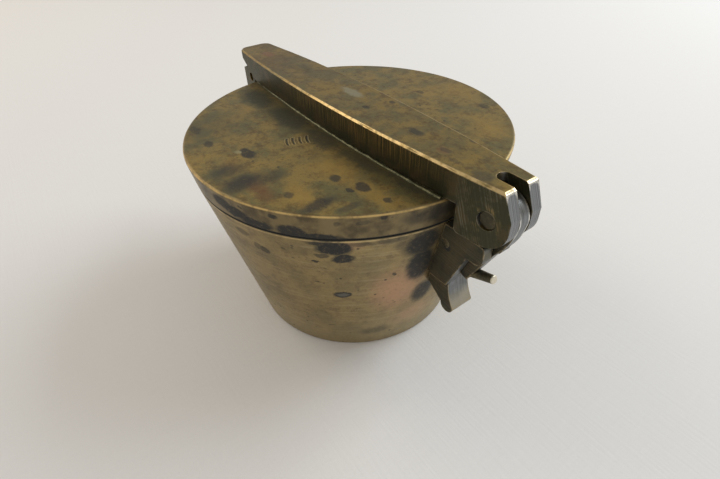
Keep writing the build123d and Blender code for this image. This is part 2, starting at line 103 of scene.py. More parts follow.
class Wire:
    """One node output, with arithmetic that adds Math nodes to its graph."""

    def __init__(self, graph: "Graph", socket: bpy.types.NodeSocket) -> None:
        """Wraps an output socket.

        Args:
            graph: The graph that the socket belongs to.
            socket: The output socket.
        """
        self.graph = graph
        self.socket = socket

    def _maths(self, operation: str, *values: Any) -> "Wire":
        """Adds one Math node.

        Args:
            operation: The node's operation.
            values: Its inputs in order, as wires or numbers.

        Returns:
            The node's result.
        """
        return self.graph.add("ShaderNodeMath", {"operation": operation}, dict(enumerate(values)))

    def __add__(self, other: Any) -> "Wire":
        """Sum."""
        return self._maths("ADD", self, other)

    def __radd__(self, other: Any) -> "Wire":
        """Sum with a number on the left."""
        return self._maths("ADD", other, self)

    def __sub__(self, other: Any) -> "Wire":
        """Difference."""
        return self._maths("SUBTRACT", self, other)

    def __rsub__(self, other: Any) -> "Wire":
        """Difference from a number on the left."""
        return self._maths("SUBTRACT", other, self)

    def __mul__(self, other: Any) -> "Wire":
        """Product."""
        return self._maths("MULTIPLY", self, other)

    def __rmul__(self, other: Any) -> "Wire":
        """Product with a number on the left."""
        return self._maths("MULTIPLY", other, self)

    def __truediv__(self, other: Any) -> "Wire":
        """Quotient."""
        return self._maths("DIVIDE", self, other)

    def __rtruediv__(self, other: Any) -> "Wire":
        """Quotient of a number on the left."""
        return self._maths("DIVIDE", other, self)

    def high_of(self, other: Any) -> "Wire":
        """The larger of two values."""
        return self._maths("MAXIMUM", self, other)

    def size(self) -> "Wire":
        """The value without its sign."""
        return self._maths("ABSOLUTE", self)

    def root(self) -> "Wire":
        """The square root."""
        return self._maths("SQRT", self)

    def whole(self) -> "Wire":
        """The value rounded down."""
        return self._maths("FLOOR", self)

    def sine(self) -> "Wire":
        """The sine of the value in radians."""
        return self._maths("SINE", self)

    def cosine(self) -> "Wire":
        """The cosine of the value in radians."""
        return self._maths("COSINE", self)

    def ramp(self, start: float, end: float) -> "Wire":
        """A smooth step.

        Args:
            start: The value that gives 0.
            end: The value that gives 1, which may be the smaller.

        Returns:
            The stepped value.
        """
        values = {"Value": self, "From Min": start, "From Max": end}
        return self.graph.add("ShaderNodeMapRange", {"interpolation_type": "SMOOTHSTEP"}, values)

    def near(self, centre: float, reach: float) -> "Wire":
        """1 at a value, falling softly to 0 at a reach from it."""
        return (self - centre).size().ramp(reach, 0.0)


class Graph:
    """A node tree that is filled through one method."""

    def __init__(self, tree: bpy.types.NodeTree) -> None:
        """Wraps a tree.

        Args:
            tree: The node tree to fill.
        """
        self.tree = tree

    def node(self, kind: str, settings: dict[str, Any], values: dict[Any, Any]) -> bpy.types.Node:
        """Adds a node.

        Args:
            kind: The node's type.
            settings: Properties of the node, set before its sockets.
            values: Values or wires for its inputs, by name, identifier or number.

        Returns:
            The new node.
        """
        made = self.tree.nodes.new(kind)
        for name, value in settings.items():
            setattr(made, name, value)
        for key, value in values.items():
            socket = self._socket(made.inputs, key)
            if isinstance(value, Wire):
                self.tree.links.new(value.socket, socket)
            else:
                socket.default_value = value
        return made

    def add(self, kind: str, settings: dict[str, Any], values: dict[Any, Any], out: Any = None) -> Wire:
        """Adds a node and returns one of its outputs.

        Args:
            kind: The node's type.
            settings: Properties of the node.
            values: Values or wires for its inputs.
            out: Name, identifier or number of the output; the first shown one if left out.

        Returns:
            The output as a wire.
        """
        made = self.node(kind, settings, values)
        if out is None:
            return Wire(self, next(socket for socket in made.outputs if socket.enabled))
        return Wire(self, self._socket(made.outputs, out))

    def joined(self, x: Any, y: Any, z: Any) -> Wire:
        """Three values as one vector."""
        return self.add("ShaderNodeCombineXYZ", {}, {0: x, 1: y, 2: z})

    def parted(self, vector: Wire) -> tuple[Wire, Wire, Wire]:
        """The three values of a vector."""
        made = self.node("ShaderNodeSeparateXYZ", {}, {0: vector})
        return tuple(Wire(self, socket) for socket in made.outputs)

    def vector(self, operation: str, first: Any, values: dict[Any, Any], out: Any = None) -> Wire:
        """Adds a Vector Math node.

        Args:
            operation: The node's operation.
            first: Its first vector.
            values: Its other inputs.
            out: The output wanted, where it isn't the first.

        Returns:
            The result.
        """
        return self.add("ShaderNodeVectorMath", {"operation": operation}, {0: first, **values}, out)

    @staticmethod
    def _socket(sockets: Any, key: Any) -> bpy.types.NodeSocket:
        """Finds a socket.

        Args:
            sockets: A node's inputs or outputs.
            key: The socket's number, identifier or name.

        Returns:
            The socket, the first shown one where several share a name.
        """
        if isinstance(key, int):
            return sockets[key]
        named = [socket for socket in sockets if socket.identifier == key]
        named += [socket for socket in sockets if socket.name == key and socket.enabled]
        return named[0]


class Tree(Graph):
    """A geometry tree with named inputs."""

    def __init__(self, name: str, inputs: dict[str, tuple[str, Any]]) -> None:
        """Starts the tree.

        Args:
            name: The tree's name.
            inputs: Its inputs after the geometry: the socket's kind and its value if it isn't set.
        """
        super().__init__(bpy.data.node_groups.new(name, "GeometryNodeTree"))
        face = self.tree.interface
        face.new_socket("Geometry", in_out="INPUT", socket_type="NodeSocketGeometry")
        for label, (kind, value) in inputs.items():
            socket = face.new_socket(label, in_out="INPUT", socket_type=kind)
            if value is not None:
                socket.default_value = value
        face.new_socket("Geometry", in_out="OUTPUT", socket_type="NodeSocketGeometry")
        entry = self.tree.nodes.new("NodeGroupInput")
        self.given = {socket.name: Wire(self, socket) for socket in entry.outputs if socket.name}

    def ripple(self, shape: Wire) -> Wire:
        """Sinks a surface a little by noise, as a hand tool leaves it.

        Args:
            shape: The surface.

        Returns:
            The uneven surface.
        """
        place = self.add("GeometryNodeInputPosition", {}, {})
        facing = self.add("GeometryNodeInputNormal", {}, {}, "Normal")
        values = {"Vector": place, "W": self.given["Seed"], "Scale": 1 / self.given["Wave"], "Detail": 2.0}
        wave = self.add("ShaderNodeTexNoise", {"noise_dimensions": "4D"}, values, "Fac")
        sink = self.vector("SCALE", facing, {"Scale": wave * self.given["Sink"] * -1.0})
        return self.add("GeometryNodeSetPosition", {}, {"Geometry": shape, "Offset": sink})

    def close(self, shape: Wire) -> None:
        """Ends the tree with plain geometry that has its finish.

        Args:
            shape: What the tree made.
        """
        smooth = self.add("GeometryNodeSetShadeSmooth", {}, {"Geometry": shape, "Shade Smooth": True})
        real = self.add("GeometryNodeRealizeInstances", {}, {"Geometry": smooth})
        values = {"Geometry": real, "Material": self.given["Finish"]}
        self.node("NodeGroupOutput", {}, {"Geometry": self.add("GeometryNodeSetMaterial", {}, values)})

    def grow(self, name: str, start: bpy.types.Mesh, values: dict[str, Any]) -> bpy.types.Object:
        """Runs the tree on a mesh and keeps the result as a plain mesh.

        Args:
            name: The piece's name.
            start: The mesh that the tree starts from.
            values: Values for the tree's inputs, by name.

        Returns:
            The piece, linked to the scene, with no modifier.
        """
        piece = bpy.data.objects.new(name, start)
        modifier = piece.modifiers.new("shape", "NODES")
        modifier.node_group = self.tree
        for item in self.tree.interface.items_tree:
            if item.in_out == "INPUT" and item.name in values:
                modifier[item.identifier] = values[item.name]
        bpy.context.scene.collection.objects.link(piece)
        settle(piece)
        piece.data.name = name
        return piece


def settle(piece: bpy.types.Object) -> None:
    """Turns a piece and its modifiers into a plain mesh with no modifier.

    Args:
        piece: The piece, linked to the scene.
    """
    graph = bpy.context.evaluated_depsgraph_get()
    shaped = piece.evaluated_get(graph)
    done = bpy.data.meshes.new_from_object(shaped, preserve_all_data_layers=True, depsgraph=graph)
    piece.modifiers.clear()
    piece.data = done


class TurnedTree(Tree):
    """Turns an outline, given as a row of points (radius, 0, height), into a closed turned form."""

    DOUBLES = 2e-6

    def __init__(self) -> None:
        """Builds the tree."""
        super().__init__("turned_form", {
            "Segments": ("NodeSocketInt", 128),
            "Sink": ("NodeSocketFloat", 0.0),
            "Wave": ("NodeSocketFloat", 0.006),
            "Seed": ("NodeSocketFloat", 1.0),
            "Finish": ("NodeSocketMaterial", None),
        })
        outline = self.given["Geometry"]
        place = self.add("GeometryNodeInputPosition", {}, {})
        settings = {"component": "MESH"}
        rows = self.add("GeometryNodeAttributeDomainSize", settings, {"Geometry": outline}, "Point Count")
        sizes = {"Vertices X": self.given["Segments"] + 1, "Vertices Y": rows}
        grid = self.add("GeometryNodeMeshGrid", {}, sizes, "Mesh")
        count = self.add("GeometryNodeInputIndex", {}, {})
        column = (count / rows).whole()
        values = {"Geometry": outline, "Value": place, "Index": count - column * rows}
        at = self.add("GeometryNodeSampleIndex", {"data_type": "FLOAT_VECTOR"}, values, "Value")
        radius, _, height = self.parted(at)
        angle = column / self.given["Segments"] * math.tau
        turned = self.joined(radius * angle.cosine(), radius * angle.sine(), height)
        shape = self.add("GeometryNodeSetPosition", {}, {"Geometry": grid, "Position": turned})
        shape = self.add("GeometryNodeMergeByDistance", {}, {"Geometry": shape, "Distance": self.DOUBLES})
        self.close(self.ripple(shape))


class BeadTree(Tree):
    """Lays a round bead of metal along a row of points."""

    SIDES = 10

    def __init__(self) -> None:
        """Builds the tree."""
        super().__init__("bead_along_a_path", {
            "Radius": ("NodeSocketFloat", 0.0002),
            "Sink": ("NodeSocketFloat", 0.0),
            "Wave": ("NodeSocketFloat", 0.001),
            "Seed": ("NodeSocketFloat", 1.0),
            "Finish": ("NodeSocketMaterial", None),
        })
        path = self.add("GeometryNodeMeshToCurve", {}, {"Mesh": self.given["Geometry"]})
        circle = {"Resolution": self.SIDES, "Radius": self.given["Radius"]}
        ring = self.add("GeometryNodeCurvePrimitiveCircle", {}, circle, "Curve")
        values = {"Curve": path, "Profile Curve": ring, "Fill Caps": True}
        self.close(self.ripple(self.add("GeometryNodeCurveToMesh", {}, values)))


class RivetTree(Tree):
    """Puts one turned rivet at each point of a mesh, pointing one way."""

    def __init__(self) -> None:
        """Builds the tree."""
        super().__init__("rivet_row", {
            "Rivet": ("NodeSocketObject", None),
            "Turn": ("NodeSocketRotation", None),
            "Finish": ("NodeSocketMaterial", None),
        })
        rivet = self.add("GeometryNodeObjectInfo", {}, {"Object": self.given["Rivet"]}, "Geometry")
        values = {"Points": self.given["Geometry"], "Instance": rivet, "Rotation": self.given["Turn"]}
        self.close(self.add("GeometryNodeInstanceOnPoints", {}, values))


# The photograph's camera, and places on the object that its pixels fall on


@dataclass(frozen=True)
class PhotoCamera:
    """The camera that the photograph was taken with, fitted to the lid's and the base's ovals."""

    place: Point = (45.7, -31.2, 52.75)
    yaw: float = 2.525
    pitch: float = -0.694
    roll: float = -0.032
    focal: float = 450.0
    width: float = 720.0
    height: float = 479.0
    sensor: float = 36.0

    def axes(self) -> tuple[Vector, Vector, Vector]:
        """The ways that the camera faces.

        Returns:
            The directions right, up and ahead.
        """
        level = math.cos(self.pitch)
        ahead = Vector((level * math.cos(self.yaw), level * math.sin(self.yaw), math.sin(self.pitch)))
        side = Vector((math.sin(self.yaw), -math.cos(self.yaw), 0.0))
        above = side.cross(ahead)
        right = math.cos(self.roll) * side + math.sin(self.roll) * above
        up = math.cos(self.roll) * above - math.sin(self.roll) * side
        return right, up, ahead

    def ray(self, pixel: Pixel) -> Vector:
        """The ray through a pixel.

        Args:
            pixel: The pixel, in the photograph's frame.

        Returns:
            Its direction, of length 1.
        """
        right, up, ahead = self.axes()
        across = (pixel[0] - self.width / 2) / self.focal
        down = (pixel[1] - self.height / 2) / self.focal
        return (ahead + across * right - down * up).normalized()

    def on_level(self, pixel: Pixel, height: float) -> Point:
        """The place at a height that a pixel falls on.

        Args:
            pixel: The pixel, in the photograph's frame.
            height: The height.

        Returns:
            The place.
        """
        ray = self.ray(pixel)
        start = Vector(self.place)
        return tuple(start + ray * ((height - start.z) / ray.z))

    def on_wall(self, pixel: Pixel, base: float, slope: float) -> Point:
        """The place on the tapering wall that a pixel falls on.

        Args:
            pixel: The pixel.
            base: The wall's radius at height 0.
            slope: How much the radius grows with height.

        Returns:
            The place.
        """
        ray = self.ray(pixel)
        start = Vector(self.place)
        radius = base + slope * start.z
        square = ray.x ** 2 + ray.y ** 2 - (slope * ray.z) ** 2
        half = start.x * ray.x + start.y * ray.y - slope * ray.z * radius
        rest = start.x ** 2 + start.y ** 2 - radius ** 2
        along = (-half - math.sqrt(max(half ** 2 - square * rest, 0.0))) / square
        return tuple(start + ray * along)

    def on_side(self, pixel: Pixel, y: float) -> Point:
        """The place on an upright face, square to Y, that a pixel falls on.

        Args:
            pixel: The pixel, in the photograph's frame.
            y: The face's place along Y.

        Returns:
            The place.
        """
        ray = self.ray(pixel)
        start = Vector(self.place)
        return tuple(start + ray * ((y - start.y) / ray.y))

    def build(self) -> None:
        """Makes the scene's camera."""
        right, up, ahead = self.axes()
        data = bpy.data.cameras.new("photo_camera")
        data.sensor_width = self.sensor
        data.lens = self.focal / self.width * self.sensor
        data.clip_start = 0.001
        data.clip_end = 50.0
        camera = bpy.data.objects.new("photo_camera", data)
        turned = Matrix((right, up, -ahead)).transposed().to_4x4()
        camera.matrix_world = Matrix.Translation(Vector(self.place) * MM) @ turned
        bpy.context.scene.collection.objects.link(camera)
        bpy.context.scene.camera = camera


CAMERA = PhotoCamera()


# Sizes that several pieces share


@dataclass(frozen=True)
class Sizes:
    """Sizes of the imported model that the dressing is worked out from."""

    rim_radius: float = 20.5
    base_radius: float = 15.2
    case_height: float = span("case_cup")[1].z
    case_wall: float = 2.1
    case_floor: float = 2.7
    lid_radius: float = 21.1
    lid_top: float = span("lid_disc")[1].z
    spigot_bottom: float = span("lid_disc")[0].z
    spigot_gap: float = 0.25
    bar_top: float = span("lid_bar")[1].z
    bar_far: float = span("lid_bar")[0].x
    bar_near: float = span("lid_bar")[1].x
    bar_half_far: float = 2.5
    bar_half_middle: float = 3.9
    bar_half_near: float = 2.15
    pivot_x: float = middle("hasp_pivot_pin").x
    pivot_z: float = middle("hasp_pivot_pin").z
    cup_gap: float = 0.2

    @property
    def slope(self) -> float:
        """How much the case's radius grows with height."""
        return (self.rim_radius - self.base_radius) / self.case_height

    def across(self, thickness: float) -> float:
        """How far a thickness, square to the tapering wall, reaches along a radius."""
        return thickness * math.hypot(1.0, self.slope)

    def outside(self, z: float) -> float:
        """The case's outer radius at a height."""
        return self.base_radius + self.slope * z

    def inside(self, z: float) -> float:
        """The case's inner radius at a height."""
        return self.outside(z) - self.across(self.case_wall)

    @property
    def bow(self) -> tuple[float, float, float]:
        """The arc that stands for the bar's edge on its +Y side, seen from above.

        It is as wide as the bar in the middle, and up to 0.35 mm too narrow at the hinge's end and too
        wide at the clasp's end, because its two end widths come out swapped.

        Returns:
            X and Y of the arc's middle, and its radius.
        """
        half = (self.bar_near - self.bar_far) / 2
        mid_x = (self.bar_near + self.bar_far) / 2
        rise_far = self.bar_half_middle - self.bar_half_far
        rise_near = self.bar_half_middle - self.bar_half_near
        lean = (rise_far - rise_near) / (2 * half)
        bend = (rise_far + rise_near) / 2
        away = bend + half * lean * (rise_far - rise_near) / (2 * bend)
        tall = (half ** 2 + bend ** 2) / (2 * bend)
        shift = lean * (tall - self.bar_half_middle + away - bend)
        radius = math.hypot(shift, tall)
        return mid_x - shift, self.bar_half_middle - tall, radius

    def bar_half_width(self, x: float) -> float:
        """Half of the width between the two arcs at a place along the bar."""
        centre_x, centre_y, radius = self.bow
        return centre_y + math.sqrt(radius ** 2 - (x - centre_x) ** 2)


SIZES = Sizes()


def on_lid(pixel: Pixel) -> Point:
    """The place on the lid's top under a pixel."""
    return CAMERA.on_level(pixel, SIZES.lid_top)


def on_wall(pixel: Pixel) -> Point:
    """The place on the case's or the lid's side under a pixel."""
    return CAMERA.on_wall(pixel, SIZES.base_radius, SIZES.slope)


def on_bar(pixel: Pixel) -> Point:
    """The place on the bar's top under a pixel."""
    return CAMERA.on_level(pixel, SIZES.bar_top)


def on_clasp(pixel: Pixel) -> Point:
    """The place on the near side of the fork or the catch under a pixel."""
    return CAMERA.on_side(pixel, -SIZES.bar_half_near)


# Shapes


def rounded(corners: Sequence[Point], cell: float = 0.5, steps: int = 5, hold: float = 0.05) -> Outline:
    """An outline with rounded corners and points along its straight runs.

    Args:
        corners: Each corner's radius, height and rounding.
        cell: The longest step along a run.
        steps: Steps round a corner.
        hold: How far from a rounding an extra point keeps the run's shading flat.

    Returns:
        The outline's points.
    """
    bends: list[list[Vector]] = []
    for index, (radius, height, bend) in enumerate(corners):
        here = Vector((radius, height))
        if not bend:
            bends.append([here])
            continue
        back = (Vector(corners[index - 1][:2]) - here).normalized()
        on = (Vector(corners[index + 1][:2]) - here).normalized()
        half = back.angle(on) / 2
        centre = here + (back + on).normalized() * bend / math.sin(half)
        first = here + back * bend / math.tan(half) - centre
        turn = first.angle_signed(here + on * bend / math.tan(half) - centre)
        bends.append([centre + Matrix.Rotation(-turn * step / steps, 2) @ first for step in range(steps + 1)])
    points = list(bends[0])
    for bend in bends[1:]:
        run = bend[0] - points[-1]
        pieces = max(1, math.ceil(run.length / cell))
        shares = [step / pieces for step in range(1, pieces)]
        if run.length > 4 * hold:
            shares += [hold / run.length, 1 - hold / run.length]
        points += [points[-1] + run * share for share in sorted(shares)]
        points += bend
    return [tuple(point) for point in points]


def far_from(points: np.ndarray, edges: np.ndarray) -> np.ndarray:
    """How far each point lies from the nearest of some straight edges.

    Args:
        points: The points.
        edges: Each edge's two ends.

    Returns:
        The distances.
    """
    best = np.full(len(points), 1 / MM)
    for start, end in edges:
        run = end - start
        share = np.clip((points - start) @ run / max(run @ run, 1e-12), 0.0, 1.0)
        best = np.minimum(best, np.linalg.norm(points - start - share[:, None] * run, axis=1))
    return best


def row_mesh(points: Sequence[Point], linked: bool) -> bpy.types.Mesh:
    """A mesh that is a row of points, given in millimetres.

    Args:
        points: The points.
        linked: Whether edges join them.

    Returns:
        The mesh.
    """
    mesh = bpy.data.meshes.new("row")
    edges = [(index, index + 1) for index in range(len(points) - 1)] if linked else []
    mesh.from_pydata([Vector(point) * MM for point in points], edges, [])
    return mesh


class Workshop:
    """Makes turned, filed, riveted and soldered pieces."""

    SHARP = math.radians(32)
    SHADED_SHARP = math.radians(38)
    FLAT = math.radians(0.8)
    CAD_DOUBLES = 1e-7
    DOUBLES = 1e-6
    WAVINESS = 0.45
    RIVET_DOME = 0.03
    RIVET_ROUND = 0.1
    BEAD_SINK = 0.8
    BEAD_WAVE = 0.9
    BEAD_SEED = 4.0

    def __init__(self) -> None:
        """Builds the geometry trees once."""
        self.turning = TurnedTree()
        self.soldering = BeadTree()
        self.riveting = RivetTree()

    def turned(self, name: str, outline: Outline, finish: bpy.types.Material, segments: int = 192,
               sink: float = 0.0, wave: float = 6.0, seed: float = 1.0) -> bpy.types.Object:
        """A turned piece, standing on its own axis.

        Args:
            name: The piece's name.
            outline: Half of its section.
            finish: Its material.
            segments: Steps round it.
            sink: How deep its unevenness is, in millimetres.
            wave: How wide its unevenness is, in millimetres.
            seed: Picks the unevenness.

        Returns:
            The piece.
        """
        row = row_mesh([(radius, 0.0, height) for radius, height in outline], False)
        values = {"Segments": segments, "Sink": sink * MM, "Wave": wave * MM, "Seed": seed, "Finish": finish}
        return self.turning.grow(name, row, values)

    def pin(self, node: str, axis: Axis, bend: float, finish: bpy.types.Material) -> bpy.types.Object:
        """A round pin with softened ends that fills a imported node's box.

        Args:
            node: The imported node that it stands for.
            axis: The way that it points.
            bend: The rounding of its ends.
            finish: Its material.

        Returns:
            The piece, in its place.
        """
        low, high = span(node)
        way = Vector(axis.value)
        length = (high - low).dot(way)
        radius = (high - low).z / 2
        outline = rounded([(0, 0, 0), (radius, 0, bend), (radius, length, bend), (0, length, 0)])
        piece = self.turned(f"{node}_turned", outline, finish, 48)
        self.lay(piece, way, (low + high) / 2 - way * length / 2)
        return piece

    @staticmethod
    def lay(piece: bpy.types.Object, way: Vector, foot: Vector) -> None:
        """Turns a piece that stands on the origin to point another way, and moves its foot.

        Args:
            piece: The piece.
            way: The way that its axis points.
            foot: Where its foot goes, in millimetres.
        """
        turn = way.to_track_quat("Z", "Y").to_matrix().to_4x4()
        piece.data.transform(Matrix.Translation(foot * MM) @ turn)

    def bead(self, name: str, path: Sequence[Point], radius: float,
             finish: bpy.types.Material) -> bpy.types.Object:
        """A thin, uneven line of solder along a path.

        Args:
            name: The piece's name.
            path: The points that it follows.
            radius: Its radius before it is made uneven.
            finish: Its material.

        Returns:
            The piece.
        """
        values = {"Radius": radius * MM, "Sink": radius * MM * self.BEAD_SINK, "Wave": self.BEAD_WAVE * MM,
                  "Seed": self.BEAD_SEED, "Finish": finish}
        return self.soldering.grow(name, row_mesh(path, True), values)

    def rivets(self, name: str, places: Sequence[Point], radius: float, length: float, way: Vector,
               finish: bpy.types.Material) -> bpy.types.Object:
        """A group of equal rivets with slightly domed ends.

        Args:
            name: The group's name.
            places: The foot of each rivet.
            radius: Their radius.
            length: Their length.
            way: The way that they point.
            finish: Their material.

        Returns:
            The group as one piece.
        """
        outline = rounded([
            (0, 0, 0),
            (radius, self.RIVET_DOME, self.RIVET_ROUND),
            (radius, length - self.RIVET_DOME, self.RIVET_ROUND),
            (0, length, 0),
        ])
        rivet = self.turned(f"{name}_pattern", outline, finish, 32)
        turn = way.to_track_quat("Z", "Y").to_euler()
        values = {"Rivet": rivet, "Turn": turn, "Finish": finish}
        group = self.riveting.grow(name, row_mesh(places, False), values)
        bpy.data.objects.remove(rivet)
        return group

    def filed(self, node: str, finish: bpy.types.Material, broken: float, cell: float,
              sink: float = 0.03) -> bpy.types.Object:
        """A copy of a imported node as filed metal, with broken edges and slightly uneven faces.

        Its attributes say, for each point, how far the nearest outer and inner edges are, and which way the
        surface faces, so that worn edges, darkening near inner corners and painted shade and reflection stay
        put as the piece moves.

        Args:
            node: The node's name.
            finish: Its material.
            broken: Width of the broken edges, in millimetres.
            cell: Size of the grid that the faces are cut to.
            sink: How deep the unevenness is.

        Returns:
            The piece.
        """
        work = bmesh.new()
        work.from_mesh(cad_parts[node].data)
        bmesh.ops.remove_doubles(work, verts=work.verts, dist=self.CAD_DOUBLES)
        bmesh.ops.dissolve_limit(work, angle_limit=self.FLAT, verts=work.verts, edges=work.edges)
        outer, inner = self._sharp_edges(work, True), self._sharp_edges(work, False)
        piece = bpy.data.objects.new(f"{node}_filed", bpy.data.meshes.new(f"{node}_filed"))
        work.to_mesh(piece.data)
        work.free()
        bpy.context.scene.collection.objects.link(piece)
        bevel = piece.modifiers.new("broken_edges", "BEVEL")
        bevel.width = broken * MM
        bevel.segments = 3
        bevel.limit_method = "ANGLE"
        bevel.angle_limit = self.SHARP
        settle(piece)
        self._cut_to_grid(piece.data, cell)
        self._note_places(piece.data, outer, inner, sink)
        piece.data.materials.clear()
        piece.data.materials.append(finish)
        piece.modifiers.new("flat_faces", "WEIGHTED_NORMAL").keep_sharp = True
        settle(piece)
        return piece

    def _sharp_edges(self, work: bmesh.types.BMesh, convex: bool) -> np.ndarray:
        """The sharp edges of one kind.

        Args:
            work: The mesh.
            convex: Whether they stand out, or else lie in a corner.

        Returns:
            Each edge's two ends, in millimetres.
        """
        found = []
        for edge in work.edges:
            if len(edge.link_faces) == 2 and edge.calc_face_angle() > self.SHARP and edge.is_convex == convex:
                found.append([vertex.co / MM for vertex in edge.verts])
        return np.array(found).reshape(-1, 2, 3)

    @classmethod
    def _cut_to_grid(cls, mesh: bpy.types.Mesh, cell: float) -> None:
        """Cuts a mesh's faces along evenly spaced planes, so that they can carry fine detail.

        Args:
            mesh: The mesh, in metres.
            cell: How far apart the planes are, in millimetres.
        """
        work = bmesh.new()
        work.from_mesh(mesh)
        step = cell * MM
        for axis in range(3):
            normal = Vector([1.0 if index == axis else 0.0 for index in range(3)])
            values = [vertex.co[axis] for vertex in work.verts]
            first = math.floor(min(values) / step) + 1
            for level in [index * step for index in range(first, math.ceil(max(values) / step))]:
                crossed = [face for face in work.faces if cls._crosses(face, axis, level)]
                edges = {edge for face in crossed for edge in face.edges}
                points = {vertex for face in crossed for vertex in face.verts}
                parts = [*points, *edges, *crossed]
                plane = {"plane_co": normal * level, "plane_no": normal}
                bmesh.ops.bisect_plane(work, geom=parts, dist=cls.DOUBLES, **plane)
        bmesh.ops.remove_doubles(work, verts=work.verts, dist=cls.DOUBLES)
        work.to_mesh(mesh)
        work.free()

    @classmethod
    def _crosses(cls, face: bmesh.types.BMFace, axis: int, level: float) -> bool:
        """Whether a face lies on both sides of a level along an axis."""
        values = [vertex.co[axis] for vertex in face.verts]
        return min(values) < level - cls.DOUBLES and max(values) > level + cls.DOUBLES

    @classmethod
    def _note_places(cls, mesh: bpy.types.Mesh, outer: np.ndarray, inner: np.ndarray, sink: float) -> None:
        """Sinks a mesh by noise and stores its edge distances and directions as attributes.

        Args:
            mesh: The mesh, in metres.
            outer: The edges that stand out, for the attribute "edge".
            inner: The edges in corners, for the attribute "nook".
            sink: How deep the unevenness is, in millimetres.
        """
        places = np.array([vertex.co / MM for vertex in mesh.vertices])
        facing = np.array([vertex.normal for vertex in mesh.vertices])
        for name, edges in (("edge", outer), ("nook", inner)):
            mesh.attributes.new(name, "FLOAT", "POINT").data.foreach_set("value", far_from(places, edges))
        mesh.attributes.new("facing", "FLOAT_VECTOR", "POINT").data.foreach_set("vector", facing.ravel())
        waves = np.array([noise.noise(Vector(place) * cls.WAVINESS) * 0.5 + 0.5 for place in places])
        sunk = (places - facing * waves[:, None] * sink) * MM
        mesh.vertices.foreach_set("co", sunk.ravel())
        for face in mesh.polygons:
            face.use_smooth = True
        mesh.set_sharp_from_angle(angle=cls.SHADED_SHARP)


# Finishes


